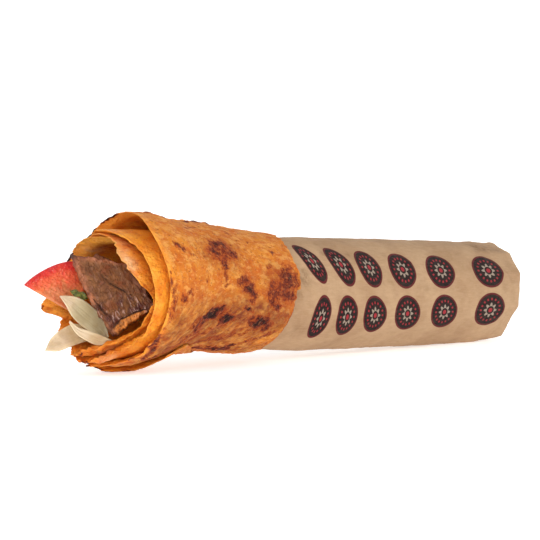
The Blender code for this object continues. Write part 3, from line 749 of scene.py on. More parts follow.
# ---- The paper sleeve ----
PAPER = 0.5
SLEEVE_START, SLEEVE_MIDDLE = -36.0, 136.0
SLEEVE_CORNERS = (-88, -58, -15, 22, 50, 85, 115, 148, 188, 230)
SLEEVE_END = (
    (-90, 160), (-60, 166), (-36, 165), (-12, 165), (20, 168), (55, 170), (88, 175), (135, 171), (180, 167),
    (225, 163), (270, 160),
)
SLEEVE_SEAL_ANGLE = 20.0
RIM_ROUND, FOLD_START = 1.2, 145.0
CAP_DISH, CAP_PLEAT = 2.4, 1.1
SLEEVE_COLUMNS, SLEEVE_ROWS, FOLD_ROWS = 264, 112, 22
RIM_STEPS = ((0.55, 1.0), (0.25, 1.0), (0.1, 0.999), (0.0, 0.998))
CAP_SHARES = (0.995, 0.985, 0.965, 0.92, 0.86, 0.78, 0.7, 0.62, 0.54, 0.46, 0.38, 0.3, 0.22, 0.14, 0.06, 0.0)
NO_BADGE = 9.0
# The printed badges of the near side: station, angle, half length and half height in mm, and slant.
BADGES = (
    (4.5, 34.5, 6.2, 11.6, 0.26), (24, 31, 7.4, 11, 0.22), (44, 28, 8.6, 10.2, 0.04),
    (69, 26, 10, 9.8, -0.06), (99.5, 25, 11.4, 9.3, -0.1), (140, 25, 13.2, 9, -0.03),
    (8, -25.5, 6.2, 11.5, 0.06), (26, -23, 7.5, 10.3, 0.22), (46.5, -22, 8.8, 9.6, 0.34),
    (71.5, -21, 10.2, 9.1, 0.34), (101, -20, 11, 8.8, 0.24), (140, -19, 12.8, 9, 0.05),
)
# Grease and shade marks on the paper: station, angle, half length, half width, strength.
GREASE_AND_SHADE_MARKS = (
    (16, 44, 2.4, 3, 0.8), (33, 44, 2, 2, 0.7), (58, 12, 3, 1.6, 0.35), (118, 32, 3, 2, 0.6),
    (128, 30, 4, 2, 0.5), (84, 5, 6, 2, 0.3), (150, 62, 12, 4, 0.9), (-5, 16, 4, 5, 0.9),
    (-8, 2, 5, 4, 0.6), (-4, -40, 6, 5, 0.4), (40, 200, 9, 5, 0.6), (100, 160, 8, 4, 0.5),
)


def sleeve_corner(angle):
    """How far a chord between the sleeve's folded corners lies inside its circle."""
    corners = np.array([*SLEEVE_CORNERS, SLEEVE_CORNERS[0] + 360])
    index = np.clip(np.searchsorted(corners, angle, side="right") - 1, 0, len(corners) - 2)
    low, high = corners[index], corners[index + 1]
    return np.cos(np.radians((high - low) / 2)) / np.cos(np.radians(angle - (low + high) / 2))


def badge_corners(x, angle):
    """Each corner's place in the badge nearest to its face: 1 at the badge's border."""
    middle_x, middle_angle = x.mean(-1), from_below(angle.mean(-1))
    far = middle_angle > 90
    turned = np.where(far, middle_angle - 180, middle_angle)
    best = np.full(middle_x.shape, 1e9)
    places = np.full((*x.shape, 2), NO_BADGE)
    arc = math.radians(SLEEVE_RADIUS)
    for at, turn, half_long, half_high, slant in BADGES:
        up = ((from_below(angle) - np.where(far, 180, 0)[:, None]) - turn) * arc
        v = up / half_high
        u = (x - at + slant * up) / half_long
        distance = np.hypot((middle_x - at) / half_long, (turned - turn) * arc / half_high)
        closer = distance < best
        best = np.where(closer, distance, best)
        places[closer] = np.stack([u, v], -1)[closer]
    return places


def paper_sleeve():
    """The crumpled tube of paper, folded between corners towards its end and closed with a pleated cap."""
    around = np.arange(SLEEVE_COLUMNS) * 360 / SLEEVE_COLUMNS + SLEEVE_CORNERS[0]
    rim = through(SLEEVE_END, from_below(around))[:, None]
    seal = through(SLEEVE_END, SLEEVE_SEAL_ANGLE)
    body = np.linspace(SLEEVE_START, SLEEVE_MIDDLE, SLEEVE_ROWS)[None] + 0 * rim
    fold = SLEEVE_MIDDLE + (rim - RIM_ROUND - SLEEVE_MIDDLE) * np.linspace(0, 1, FOLD_ROWS + 1)[None, 1:]
    inward = np.array(CAP_SHARES)
    cap = rim - CAP_DISH * (1 - inward) + (seal - rim) * (1 - inward)
    edge, edge_share = np.array(RIM_STEPS).T
    x = np.concatenate([body, fold, rim - edge[None] * RIM_ROUND, cap], 1)
    share = np.concatenate([np.ones(SLEEVE_ROWS + FOLD_ROWS), edge_share, inward])[None]
    angle = np.broadcast_to(around[:, None], x.shape)
    s = angle * ARC
    folded = fade(x, FOLD_START, rim)
    turn = np.radians(angle)
    ways = (np.cos(turn), np.sin(turn))
    pleats = np.abs(noise(ways[0] * 2.2, ways[1] * 2.2, share * 1.2, seed=41))
    x = x - CAP_PLEAT * pleats * np.sin(np.pi * share) * (share < 0.99)
    crumple = 0.22 * noise(x / 15, ways[0] * 2.4, ways[1] * 2.4, seed=42)
    creases = 0.16 * np.clip(ridges(x / 24, ways[0] * 1.7, ways[1] * 1.7, seed=43), 0, 1)
    creases += 0.14 * np.clip(ridges(x / 11, ways[0] * 3.1, ways[1] * 3.1, seed=44), 0, 1)
    pinch = fade(x, 128, 150) * (0.5 * ridges((x - 150) / 12 + s / 22, s / 14, seed=45) - 0.2)
    radius = sleeve_radius(x) * (1 + folded * (sleeve_corner(angle) - 1))
    relief = (crumple + creases) * fade(x, -34, -4) + 0.35 * pinch * fade(share, 0.9, 1.0)
    relief = np.minimum(relief, 0.05 + 0.5 * fade(x, -12, 6))
    outside = about_axis(x, angle, (radius + relief) * share)
    inside = about_axis(x - PAPER * (share < 1), angle, (radius + relief - PAPER) * share)
    points, faces, used = shell(outside, inside, around=True)
    flat_x, flat_angle = np.tile(x.ravel(), 2)[used], np.tile(angle.ravel(), 2)[used]
    face_x, face_angle = flat_x[faces], flat_angle[faces]
    face_angle = face_angle[:, :1] + (face_angle - face_angle[:, :1] + 180) % 360 - 180
    flat_share = np.tile((share + 0 * x).ravel(), 2)[used]
    flat_turn = np.radians(flat_angle)
    flat_y, flat_z = (SLEEVE_NECK * way(flat_turn) * flat_share for way in (np.cos, np.sin))
    places = badge_corners(face_x, face_angle)
    places[flat_share[faces].min(-1) < 0.99] = NO_BADGE
    values = {
        "grain": np.stack([flat_x, flat_y, flat_z], -1),
        "crease": np.tile((creases * 3).ravel(), 2)[used],
        "smudge": grease_and_shadows(flat_x, flat_angle),
    }
    piece("sleeve_paper", points, faces, paper_material(), ["paper_sleeve"],
          values=values, corners={"badge": places.reshape(-1, 2)}, sharp=32)


def grease_and_shadows(x, angle):
    """How greasy or shaded the paper is: a painted shadow, darkest along the bread's edge, and grease and
    painted shade in the marks.
    """
    total = 0.6 * np.exp(-np.abs(x - through(FLAP_EDGE, from_below(angle))) / 1.1)
    for at, turn, long, wide, strength in GREASE_AND_SHADE_MARKS:
        across = ((angle - turn + 180) % 360 - 180) * math.radians(SLEEVE_RADIUS)
        u, v = (x - at) / long, across / wide
        total = np.maximum(total, strength * np.exp(-(u * u + v * v)))
    return total


def paper_material():
    """Kraft paper with fibres, grease and painted shadow, printed with deep-coloured badges: a plain rosette
    in a ring of beads.
    """
    r = Recipe("printed kraft paper", Specular_IOR_Level=0.12)
    broad = r.clouds(26, 0.36, 0.64, detail=3)
    pulp = r.clouds(1.5, 0.35, 0.66, detail=5, rough=0.7, scale=(0.4, 1, 1))
    fibres = r.clouds(0.8, 0.45, 0.7, detail=4, rough=0.75, scale=(0.12, 1, 1), shift=(5, 2, 9))
    stain = r.clouds(4.0, 0.35, 0.65, detail=4, rough=0.65, shift=(40, 0, 0))
    plain = r.paint(
        r.mix(broad, "A68566", "B49474"),
        (pulp, 0.28, "96754F"),
        (fibres, 0.22, "C6A685"),
        (r.spread(r.value("crease"), 0.2, 0.5), 0.16, "C8A884"),
        # grease, and painted shadow along the bread's edge
        (r.value("smudge"), stain, 0.75, "6E5238"),
    )
    badge = r.node("UVMap", {}, "UV", uv_map="badge")
    u, v = (r.node("SeparateXYZ", {0: badge}, axis) for axis in (0, 1))
    reach = r.math("SQRT", r.plus(r.times(u, u), r.times(v, v)))
    turn = r.math("ARCTAN2", v, u)
    petals = r.plus(0.35, r.times(r.math("COSINE", r.times(turn, 8.0)), 0.09))
    flower = r.times(r.spread(reach, 0.22, 0.26), r.spread(r.plus(reach, r.times(petals, -1.0)), 0.03, -0.03))
    beads = r.spread(r.math("COSINE", r.times(turn, 16.0)), 0.1, 0.5)
    band = r.times(r.spread(reach, 0.56, 0.60), r.spread(reach, 0.72, 0.68))
    field = r.paint(
        r.mix(r.spread(reach, 0.88, 0.91), "1A0F10", "5A161C"),
        (flower, 0.8, "A89686"),
        (r.spread(reach, 0.14, 0.11), "9A2630"),
        (band, beads, 0.9, "A02832"),
    )
    disc = r.spread(reach, 1.02, 0.98)
    colour = r.mix(r.times(disc, r.plus(0.99, r.times(fibres, -0.05))), plain, field)
    r.set(Base_Color=colour, Roughness=r.plus(0.72, r.times(pulp, 0.1), r.times(disc, -0.12)))
    wrinkle = r.clouds(5.5, 0.3, 0.7, detail=4, rough=0.6, bend=0.6, shift=(3, 3, 3))
    r.bump((wrinkle, 0.16), (pulp, 0.03), (fibres, 0.03))
    return r.material


# ---- The filling ----
CORE_START, CORE_END = -88.0, 143.0
CORE_RADIUS, CORE_BLUNTNESS = 15.2, 3.0
SLAB_AT, SLAB_TURN = (-109.4, -9.3, 1.6), (66.3, 62.3, -70.5)
SLAB_CORNERS = ((-23.6, -9.2), (18, -7.6), (13.4, 15.2), (-7.8, 12.4))
SLAB_CREASES = (
    ((-8.6, -0.9), (-3.4, 1.2), 0.3), ((-3.4, 1.2), (2.4, 5.4), 0.45), ((2.4, 5.4), (7, 6.6), 0.2),
    ((0, -7.6), (4.5, -6.9), 0.35), ((4.5, -6.9), (8.4, -5), 0.45),
)
SLICE_AT, SLICE_TURN = (-103.0, -3.2, 13.8), (78.2, 18.4, -48.0)
SLICE_CORNERS = ((-9.6, -2.6), (15.0, -4.4), (14.4, 0.8), (-8.6, 2.2))
TOMATO_AT, TOMATO_TURN = (-137.7, 12.5, 4.6), (80.9, 27.3, -13.6)
TOMATO_HALF_LENGTH, TOMATO_RADIUS, TOMATO_POINT = 24.0, 20.5, 0.16
TOMATO_WEDGE, TOMATO_CUT = 34.0, 27.0
LONG_ONION_AT, LONG_ONION_TURN = (-124.3, 5.1, 0.0), (81.1, 40.3, -27.9)
LONG_ONION_LOW = ((0, -0.3), (0.15, -1.5), (0.32, -3.4), (0.62, -3.7), (0.85, -2.7), (1, -1.0))
LONG_ONION_HIGH = ((0, 0.3), (0.15, 3.4), (0.34, 5.2), (0.6, 5.2), (0.85, 3.2), (1, 0.4))
CUP_ONION_AT, CUP_ONION_TURN = (-122.9, 1.0, -10.1), (66.7, 25.0, -37.3)
CUP_ONION_LOW = ((0, -0.8), (0.2, -4.0), (0.45, -5.4), (0.72, -5.2), (1, -0.9))
CUP_ONION_HIGH = ((0, 0.2), (0.2, -1.2), (0.45, -0.9), (0.72, -0.4), (1, 0.2))
LEAF_ONION_AT, LEAF_ONION_TURN = (-130.4, 7.4, -22.2), (67.4, -13.0, -15.3)
LEAF_ONION_LOW = ((0, -0.2), (0.2, -1.8), (0.5, -1.5), (1, -0.8))
LEAF_ONION_HIGH = ((0, 0.2), (0.17, 4.0), (0.32, 5.8), (0.52, 7.2), (0.75, 7.6), (1, 3.0))
PARSLEY_AT, PARSLEY_TURN = (-118.4, 5.8, 2.1), (92.3, 23.5, -30.9)
PARSLEY_LOW = ((0, -0.2), (0.3, -1.5), (0.55, -1.0), (0.75, -1.6), (1, -0.2))
PARSLEY_HIGH = ((0, 0.2), (0.25, 1.5), (0.45, 1.1), (0.65, 1.8), (1, 0.2))


def set_down(at, turn):
    """A piece's own frame, placed in the roll's."""
    turned = Euler([math.radians(angle) for angle in turn]).to_matrix().to_4x4()
    return ROLL @ Matrix.Translation(Vector(at) * MM) @ turned


def meat_colours(r, warm):
    """Grilled beef: brown with rosy and plum zones, painted glints along the fibres of its wet ends, painted
    shade in creases and hollows, charring, and flecks of spice.
    """
    broad = r.clouds(7.0, 0.38, 0.62, detail=4, rough=0.6, shift=(8, 3, 0))
    blotch = r.clouds(2.4, 0.42, 0.62, detail=4, rough=0.65, shift=(3, 8, 1))
    fine = r.clouds(1.2, 0.38, 0.66, detail=3, rough=0.55, scale=(0.4, 1, 1))
    thread = r.clouds(1.15, 0.44, 0.62, detail=2, rough=0.5, scale=(0.22, 1, 1), shift=(2, 9, 4))
    rust = r.clouds(4.2, 0.52, 0.68, detail=4, rough=0.6, shift=(30, 1, 7))
    flecks = r.clouds(0.9, 0.70, 0.76, detail=3, rough=0.7, shift=(5, 5, 5))
    pepper = r.clouds(1.1, 0.72, 0.76, detail=3, rough=0.7, shift=(15, 25, 5))
    painted_glints = r.times(r.value("streaked"), r.spread(thread, 0.45, 0.95), r.spread(fine, 0.2, 0.8))
    warmed = r.plus(0.45, r.times(blotch, -0.3), r.times(fine, 0.3))
    colour = r.paint(
        r.mix(broad, "623414", "764822"),
        (blotch, 0.5, "4C2612"),
        (fine, 0.3, "946038"),
        (rust, 0.45, "843C12"),
        (r.value("rosy"), r.plus(0.45, r.times(fine, 0.3)), "B87250"),
        (r.value("plum"), r.plus(0.45, r.times(blotch, 0.4)), "4A1C20"),
        # painted highlight: pale glints along the fibres of the wet ends
        (painted_glints, 0.55, "C09A90"),
        (r.value("warm"), warmed, warm, "D8802E"),
        # painted shade, and charring at the slab's corner
        (r.value("dark"), 0.9, "1E0C08"),
        (flecks, 0.7, "CDB090"),
        (pepper, 0.8, "2A150F"),
    )
    wet = r.math("MAXIMUM", r.value("wet"), r.times(rust, 0.4))
    r.set(Base_Color=colour, Roughness=r.plus(0.58, r.times(wet, -0.28), r.times(fine, 0.08)))
    r.bump((r.times(r.value("streaked"), thread), 0.6), (blotch, 0.4), (fine, 0.2), (flecks, 0.1))
    return r.material


def near_line(x, y, start, end, width):
    """1 on the line between two points, fading with the distance from it."""
    start, along = np.array(start), np.array(end) - np.array(start)
    part = np.clip(((x - start[0]) * along[0] + (y - start[1]) * along[1]) / (along @ along), 0, 1)
    gap = np.hypot(x - start[0] - part * along[0], y - start[1] - part * along[1])
    return np.exp(-((gap / width) ** 2))


def slab(name, corners, thick, arch, at, turn, size, material, seed, creases=(), bulge=0.0, ends=2.6):
    """A slice of meat between four corners: its far end ridged and wet, its edges ragged and rounded."""
    a, b, c, d = (np.array(corner) for corner in corners)
    long, wide = np.linalg.norm(b - a), (np.linalg.norm(d - a) + np.linalg.norm(c - b)) / 2
    u, v = np.meshgrid(soft_steps(size[0], span=long), soft_steps(size[1], span=wide), indexing="ij")
    flat = (a * (1 - u)[..., None] + b * u[..., None]) * (1 - v)[..., None]
    flat += (d * (1 - u)[..., None] + c * u[..., None]) * v[..., None]
    flat[..., 1] -= bulge * np.sin(np.pi * u) * (1 - v)
    rim_u, rim_v = np.minimum(u, 1 - u) * long, np.minimum(v, 1 - v) * wide
    to_edge = np.minimum(rim_u, rim_v)
    pull = fade(to_edge, 3.0, 0.0)
    rounded = np.minimum(np.minimum(rim_u, (1 - v) * wide), v * wide / 2.4)
    x, y = flat[..., 0], flat[..., 1]
    ragged = 0.75 * layered(x / 3.2, y / 2.6, seed=seed) + 0.35 * noise(x / 1.1, y / 1.1, seed=seed + 5)
    corner_cut = fade(np.hypot(np.maximum(2.2 - rim_u, 0), np.maximum(2.2 - rim_v, 0)), 1.2, 3.1)
    centre = flat.mean((0, 1))
    inward = (centre - flat) / np.linalg.norm(centre - flat, axis=-1, keepdims=True)
    flat = flat + inward * (pull * (0.25 + ragged) + 1.1 * corner_cut)[..., None]
    x, y = flat[..., 0], flat[..., 1]
    bent = y + 0.10 * x + 1.2 * noise(x / 13, y / 9, seed=seed + 1)
    low_end = fade(u + 0.1 * noise(x / 5, y / 4, seed=seed + 8), 0.5, 0.75)
    ridge = 0.36 * ridges(bent / 2.3, x / 10, seed=seed + 2) + 0.16 * ridges(bent / 1.1, x / 7, seed=seed + 3)
    broad = 0.5 * noise(x / 9, y / 6, seed=seed + 4) + 0.3 * noise(x / 9, bent / 2.6, seed=seed + 6)
    lumpy = fade(to_edge, 6.0, 1.0) * 0.5 * noise(x / 2.8, y / 2.6, seed=seed + 9)
    wander = 0.8 * layered(x / 4, y / 4, seed=seed + 7)
    cleft, lip = np.zeros(x.shape), np.zeros(x.shape)
    for start, end, width in creases:
        deep = min(1.0, 2 * width)
        cleft = np.maximum(cleft, near_line(x + wander, y + wander, start, end, width) * deep)
        lip = np.maximum(lip, near_line(x + wander + 0.5, y + wander - 0.9, start, end, 1.2) * deep)
    from_end = (1 - u) * long - 2.4 - 2.6 * np.sin(np.pi * np.clip(v / 0.8, 0, 1)) - 0.8 * wander
    groove = np.exp(-((from_end / 0.5) ** 2)) * fade(v, 0.05, 0.2) * fade(v, 0.85, 0.7)
    relief = ridge * (0.12 + 0.88 * low_end) + broad + lumpy + 0.5 * lip - cleft - 0.8 * groove
    fit = rounding(rounded, 1.1, ends)
    middle = -thick / 2 - arch * ((2 * u - 1) ** 2 + (2 * v - 1) ** 2) / 2
    half = thick / 2 * np.maximum(fit, 0.02)
    calm = fade(to_edge, 0.0, 1.4)
    top = np.stack([x, y, middle + half + relief * calm], -1)
    low = np.stack([x, y, middle - half - 0.4 * relief * calm], -1)
    points, faces, used = shell(top, low)
    patch = fade(noise(x / 5, y / 3.4, seed=seed + 10), -0.3, 0.35)
    plum = np.maximum(fade(v, 0.8, 0.98), low_end * patch)
    plum = np.maximum(plum, 0.9 * fade(to_edge, 3.0, 0.5) * patch)
    rosy = np.maximum(fade(v * wide, 5.0, 1.5), fade(u, 0.12, 0.02)) * (1 - 0.6 * low_end)
    end_face = fade(from_end, 0.3, -0.7) * fade(v, 0.04, 0.2) * fade(v, 0.85, 0.65)
    tip = 0.9 * fade(np.hypot(x - a[0], y - a[1]) + wander, 6.0, 2.0)
    # Painted shade in the creases, the groove before the end face and the hollows of the relief, and charring
    # at the first corner.
    dark = np.clip(0.5 * cleft + 0.8 * groove + 0.5 * fade(relief, -0.35, -0.9) + tip, 0, 1)
    upper_and_lower = {
        "plum": (plum * (1 - end_face), 0.3),
        "rosy": (rosy, 0.2),
        "warm": (end_face, 0.5),
        "streaked": (0.15 + 0.85 * low_end * (1 - end_face), 0.3),
        "dark": (dark, 0.1),
        "wet": (low_end * patch, 0.3),
    }
    values = {key: joined(up, np.full(x.shape, down))[used] for key, (up, down) in upper_and_lower.items()}
    values["grain"] = points
    piece(name, points, faces, material, [name.replace("grilled", "meat")],
          matrix=set_down(at, turn), values=values, sharp=75)


def meats():
    """The slab in the mouth and the slice behind it."""
    material = meat_colours(Recipe("grilled beef", Specular_IOR_Level=0.36), 1.0)
    slab("grilled_slab", SLAB_CORNERS, 5.0, 1.2, SLAB_AT, SLAB_TURN, (150, 100), material, 50,
         SLAB_CREASES, bulge=1.9, ends=2.2)
    slab("grilled_slice", SLICE_CORNERS, 3.0, 0.5, SLICE_AT, SLICE_TURN, (70, 26), material, 70)


def filling():
    """The chopped filling behind them, as one lumpy mass."""
    station, turn = np.meshgrid(np.linspace(0, 1, 220), np.arange(84) / 84 * 2 * np.pi)
    x = CORE_START + (CORE_END - CORE_START) * (1 - np.cos(np.pi * station)) / 2
    blunt = np.sqrt(np.minimum(1, np.sin(np.pi * (1 - np.cos(np.pi * station)) / 2) * CORE_BLUNTNESS))
    ways = np.cos(turn), np.sin(turn)
    lump = 1.5 * noise(x / 7, ways[0] * 2.2, ways[1] * 2.2, seed=81)
    lump += 0.8 * ridges(x / 4.5, ways[0] * 3.6, ways[1] * 3.6, seed=82) - 0.4
    lump += 0.35 * noise(x / 1.8, ways[0] * 8, ways[1] * 8, seed=83)
    points = about_axis(x, np.degrees(turn), (CORE_RADIUS - 0.6 + lump) * blunt).reshape(-1, 3)
    faces = cells_of(x.shape, around=True).reshape(-1, 4)
    values = {
        # The lumps' tops are painted warmer and rosier, and their dips plum and darker: painted light and
        # shade.
        "grain": points,
        "plum": fade(lump, 0.2, -1.0).ravel() * 0.5,
        "warm": fade(lump, 0.5, 1.6).ravel(),
        "rosy": fade(lump, 0.0, 1.0).ravel() * 0.5,
        "streaked": np.full(len(points), 0.3),
        "dark": fade(lump, -0.2, -1.6).ravel(),
        "wet": np.full(len(points), 0.5),
    }
    material = meat_colours(Recipe("chopped filling", Specular_IOR_Level=0.5), 0.5)
    piece("chopped_filling", points, faces, material, ["meat_filling"], values=values, weld=True)


def tomato():
    """A wedge of tomato, its cut face up, from a pointed end to a straight cut."""
    along = soft_steps(96, edge=(0.0, 0.1, 0.3, 0.6, 1.0), span=TOMATO_CUT, both=False)
    across = soft_steps(60, edge=(0.0, 0.08, 0.2, 0.4, 0.7, 1.1, 1.6), span=TOMATO_RADIUS)
    x, share = np.meshgrid(along * TOMATO_CUT, across, indexing="ij")
    pole = 1 - x / TOMATO_HALF_LENGTH
    slim = 1 - TOMATO_POINT * pole * pole
    radius = TOMATO_RADIUS * 1.08 * slim * np.maximum(1 - pole * pole, 1e-5) ** 0.82
    y = radius * share
    from_skin = radius - y
    wedge = math.radians(TOMATO_WEDGE)
    under = np.minimum(y * math.tan(wedge), np.sqrt(np.maximum(radius**2 - y**2, 0)))
    end = np.minimum(np.minimum(from_skin, y), TOMATO_CUT - x)
    soft = rounding(end, 1.0, 2.2)
    grainy = 0.16 * noise(x / 1.3, y / 1.1, seed=91) + 0.07 * noise(x / 0.55, y / 0.5, seed=92)
    veins = 0.14 * ridges(x / 9, y / 2.6, seed=93)
    dish = -0.55 * fade(from_skin, 0.6, 6.0) * fade(y, 0.0, 4.0) + 0.35 * noise(x / 9, y / 7, seed=94)
    top = dish * fade(end, 0, 2) + (grainy + veins) * fade(end, 0, 1.0) - 0.5 * (1 - soft)
    on_skin = y >= radius * math.cos(wedge)
    low = -np.maximum(under, 0.05) + 0.06 * noise(x / 6, y / 6, seed=95) * ~on_skin
    low = np.minimum(low, top - 0.05)
    points, faces, used = shell(np.stack([x, y, top], -1), np.stack([x, y, low], -1))
    values = {
        "grain": points,
        "depth": joined(from_skin, np.where(on_skin, 0, from_skin))[used],
        "skin": joined(fade(from_skin, 0.55, 0.05), on_skin)[used],
    }
    piece("tomato_slice", points, faces, tomato_material(), ["tomato_wedge"],
          matrix=set_down(TOMATO_AT, TOMATO_TURN), values=values, sharp=75)


def tomato_material():
    """Tomato flesh, redder towards the skin, with painted glints on the cells in the soft part."""
    r = Recipe("fresh tomato", Specular_IOR_Level=0.4, Subsurface_Weight=0.2, Subsurface_Scale=0.0016,
               Subsurface_Radius=(1.0, 0.3, 0.15))
    depth = r.value("depth")
    wander = r.clouds(3.6, 0.3, 0.7, detail=4)
    deep = r.plus(depth, r.times(r.plus(wander, -0.5), 4.5))
    cells = r.clouds(1.1, 0.5, 0.72, detail=2, rough=0.5, scale=(1, 1.3, 1), shift=(3, 3, 3))
    glow = r.clouds(6.0, 0.45, 0.65, detail=1, shift=(12, 5, 3))
    streak = r.clouds(2.0, 0.52, 0.7, detail=3, scale=(0.3, 1, 1), shift=(9, 1, 3))
    glint_spots = r.clouds(0.9, 0.60, 0.70, detail=2, rough=0.6, shift=(7, 7, 7))
    juicy = r.times(r.spread(depth, 1.0, 2.4), r.spread(depth, 7.5, 4.0))
    colour = r.paint(
        r.mix(r.spread(deep, 0.0, 3.0), "C4262C", "D63A30"),
        (r.spread(deep, 3.0, 8.0), "DE5E3C"),
        (r.spread(deep, 8.0, 15.0), 0.9, "CC7C50"),
        (cells, 0.22, "E88C64"),
        (glow, r.spread(depth, 2.0, 5.0), 0.5, "E88A50"),
        (streak, 0.35, "B41E20"),
        # painted highlight: glints in the juicy part
        (glint_spots, juicy, 0.7, "F6B8A0"),
        (r.value("skin"), 0.9, "B81A24"),
    )
    r.set(Base_Color=colour, Roughness=r.plus(0.36, r.times(cells, -0.14)))
    r.bump((cells, 0.14), (glint_spots, 0.14))
    return r.material


def petal(name, node, length, low, high, cup, bend, thick, edge, at, turn, size, material, seed, waves=0.25):
    """A thin slice between two edges, cupped across, bent along its length and thin at its rim."""
    wide = max(top for _, top in high) - min(bottom for _, bottom in low)
    near = (0.0, 0.08, 0.22, 0.45)
    u, v = np.meshgrid(soft_steps(size[0], edge=near, span=length), soft_steps(size[1], edge=near, span=wide),
                       indexing="ij")
    bottom, top = through(low, u), through(high, u)
    x = length * u
    y = bottom + (top - bottom) * v
    to_edge = np.minimum(np.minimum(v, 1 - v) * (top - bottom), np.minimum(u, 1 - u) * length)
    veins = 0.07 * ridges(v * wide / 1.1 + 0.2 * noise(x / 6, v, seed=seed), x / 19, seed=seed + 1)
    wave = waves * noise(x / 5.5, y / 4.5, seed=seed + 2)
    wave = wave + 0.5 * waves * noise(x / 2.6, y / 2.2, seed=seed + 3)
    z = -cup * (1 - (2 * v - 1) ** 2) + bend * np.sin(np.pi * u) + wave
    half = thick / 2 * (edge + (1 - edge) * fade(to_edge, 0, 2.4)) * np.maximum(rounding(to_edge, 0.4), 0.05)
    outside = np.stack([x, y, z - thick / 2 + half + veins * fade(to_edge, 0, 0.6)], -1)
    inside = np.stack([x, y, z - thick / 2 - half], -1)
    points, faces, used = shell(outside, inside)
    values = {
        "grain": points,
        "along": joined(u, u)[used],
        "vein": joined(v * wide, v * wide + 40)[used],
        "thin": np.exp(-joined(to_edge, to_edge) / 0.7)[used],
    }
    piece(name, points, faces, material, [node], matrix=set_down(at, turn), values=values, sharp=80)


def onion_material(name, green, start, end):
    """Translucent onion: cream with lengthwise veins, greener or browner between two stations."""
    r = Recipe(name, Specular_IOR_Level=0.35, Subsurface_Weight=0.4, Subsurface_Scale=0.003,
               Subsurface_Radius=(1.0, 0.8, 0.5))
    along = r.value("along")
    broad = r.clouds(6.0, 0.36, 0.64, detail=2)
    vein = r.node("CombineXYZ", {0: r.value("vein"), 1: r.times(along, 1.6)})
    lines = r.noise(vein, 0.9, 0.38, 0.72, detail=2, rough=0.5)
    zone = r.times(r.spread(along, start - 0.12, start + 0.12), r.spread(along, end + 0.15, end - 0.15))
    colour = r.paint(
        r.mix(broad, "BCA688", "D0BCA0"),
        (lines, 0.2, "B49A76"),
        (zone, 0.6, green),
        (r.value("thin"), 0.35, "DECCAC"),
    )
    r.set(Base_Color=colour, Roughness=r.plus(0.34, r.times(lines, 0.1)))
    r.bump((lines, 0.05), (r.clouds(0.8, 0.3, 0.7, shift=(4, 4, 4)), 0.03))
    return r.material


def parsley_material():
    """Matt green leaf, darker at its rim."""
    r = Recipe("parsley", Specular_IOR_Level=0.5, Subsurface_Weight=0.2, Subsurface_Scale=0.001)
    mottle = r.clouds(1.2, 0.35, 0.65, detail=4)
    colour = r.paint(r.mix(mottle, "424510", "77782C"), (r.value("thin"), 0.4, "2B3312"))
    r.set(Base_Color=colour, Roughness=r.plus(0.42, r.times(mottle, 0.12)))
    r.bump((mottle, 0.15))
    return r.material


def vegetables():
    """The tomato, three pieces of onion and the parsley leaf."""
    tomato()
    greenish = onion_material("onion, greenish core", "8A8054", 0.25, 0.95)
    pale = onion_material("onion, pale", "B89A6C", 0.5, 1.0)
    petal("onion_strip", "onion_long", 27.0, LONG_ONION_LOW, LONG_ONION_HIGH, 0.8, 0.6, 1.5, 0.5,
          LONG_ONION_AT, LONG_ONION_TURN, (60, 26), greenish, 101)
    petal("onion_curl", "onion_cup", 20.0, CUP_ONION_LOW, CUP_ONION_HIGH, 0.4, 1.2, 1.5, 0.5,
          CUP_ONION_AT, CUP_ONION_TURN, (50, 22), pale, 111)
    petal("onion_petal", "onion_leaf", 23.0, LEAF_ONION_LOW, LEAF_ONION_HIGH, 0.6, 0.3, 1.5, 0.5,
          LEAF_ONION_AT, LEAF_ONION_TURN, (54, 24), pale, 121)
    petal("parsley_frond", "parsley_leaf", 8.0, PARSLEY_LOW, PARSLEY_HIGH, 0.5, 0.5, 0.5, 0.6,
          PARSLEY_AT, PARSLEY_TURN, (40, 18), parsley_material(), 131, waves=0.4)


# ---- Stage, light and camera ----
VIEW_TURN = 48.0
VIEW_DISTANCE, VIEW_HEIGHT = 852.0, 6.9
VIEW_RISE = 0.293
LENS = 122.27
SKY = 0.25
# Lamps: name, place in metres, width, power and colour.
LAMPS = (
    ("key", (-1.15, -0.15, 0.85), 0.7, 2.8, "FFF6EA"),
    ("front", (-1.15, -0.7, 0.22), 0.8, 7.6, "FFFBF4"),
    ("fill", (-0.3, -1.3, 0.35), 1.0, 1.6, "FFFDF8"),
)
FLOOR_REACH, FLOOR_BEND, WALL_TOP, FLOOR_SIDES = 1.9, 0.9, 2.6, 96


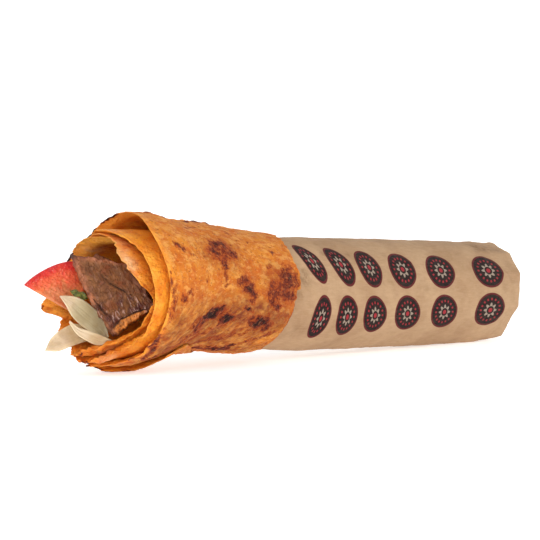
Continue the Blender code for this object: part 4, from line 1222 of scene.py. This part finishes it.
def stage():
    """A pale round floor that curves up into a wall far behind."""
    profile = [(0.0, 0.0), (1.0, 0.0), (FLOOR_REACH, 0.0)]
    for t in np.linspace(0.1, math.pi / 2, 14):
        profile.append((FLOOR_REACH + FLOOR_BEND * math.sin(t), FLOOR_BEND - FLOOR_BEND * math.cos(t)))
    profile.append((FLOOR_REACH + FLOOR_BEND, WALL_TOP))
    turns = np.arange(FLOOR_SIDES) / FLOOR_SIDES * 2 * np.pi
    reach, height = np.array(profile).T
    x, y = np.outer(np.cos(turns), reach), np.outer(np.sin(turns), reach)
    points = np.stack([x, y, 0 * turns[:, None] + height], -1)
    faces = cells_of(x.shape, around=True).reshape(-1, 4)
    mesh = bpy.data.meshes.new("studio_floor")
    mesh.from_pydata(points.reshape(-1, 3).tolist(), [], faces.tolist())
    r = Recipe("studio floor", Specular_IOR_Level=0.1, Roughness=0.9)
    tone = r.mix(r.noise(r.node("TexCoord", {}, "Object"), 0.8, 0.2, 0.8), "EDEDED", "F2F2F2")
    r.set(Base_Color=tone, Emission_Color=tone, Emission_Strength=0.6)
    mesh.materials.append(r.material)
    mesh.shade_smooth()
    floor = bpy.data.objects.new("studio_floor", mesh)
    bpy.context.scene.collection.objects.link(floor)
    floor.location.z = cad_box[0][2]


def lamps():
    """Round lamps that face the part."""
    for name, at, size, power, code in LAMPS:
        light = bpy.data.lights.new(name, "AREA")
        light.shape = "DISK"
        light.size = size
        light.energy = power
        light.color = tint(code)[:3]
        obj = bpy.data.objects.new(name, light)
        obj.location = at
        obj.rotation_euler = (-Vector(at)).to_track_quat("-Z", "Y").to_euler()
        bpy.context.scene.collection.objects.link(obj)


def camera_and_sky():
    """The camera that was fitted to the photo, and a pale sky."""
    turn, rise = math.radians(VIEW_TURN), math.radians(VIEW_RISE)
    right = Vector((math.cos(turn), -math.sin(turn), 0))
    level = Vector((math.sin(turn), math.cos(turn), 0))
    ahead = level * math.cos(rise) + Vector((0, 0, math.sin(rise)))
    up = right.cross(ahead)
    seat = (Vector((0, 0, VIEW_HEIGHT)) - level * VIEW_DISTANCE) * MM
    camera = bpy.data.objects.new("camera", bpy.data.cameras.new("camera"))
    camera.data.lens = LENS
    camera.data.sensor_width = 36
    camera.data.clip_start = 0.01
    turned = Matrix((right, up, -ahead)).transposed().to_4x4()
    camera.matrix_world = ROLL @ Matrix.Translation(seat) @ turned
    bpy.context.scene.collection.objects.link(camera)
    bpy.context.scene.camera = camera
    bpy.context.scene.view_settings.view_transform = "Standard"
    world = bpy.data.worlds.new("studio")
    world.use_nodes = True
    sky = world.node_tree.nodes["Background"]
    sky.inputs["Color"].default_value = (1, 1, 1, 1)
    sky.inputs["Strength"].default_value = SKY
    bpy.context.scene.world = world


bread()
paper_sleeve()
meats()
filling()
vegetables()
stage()
camera_and_sky()
lamps()
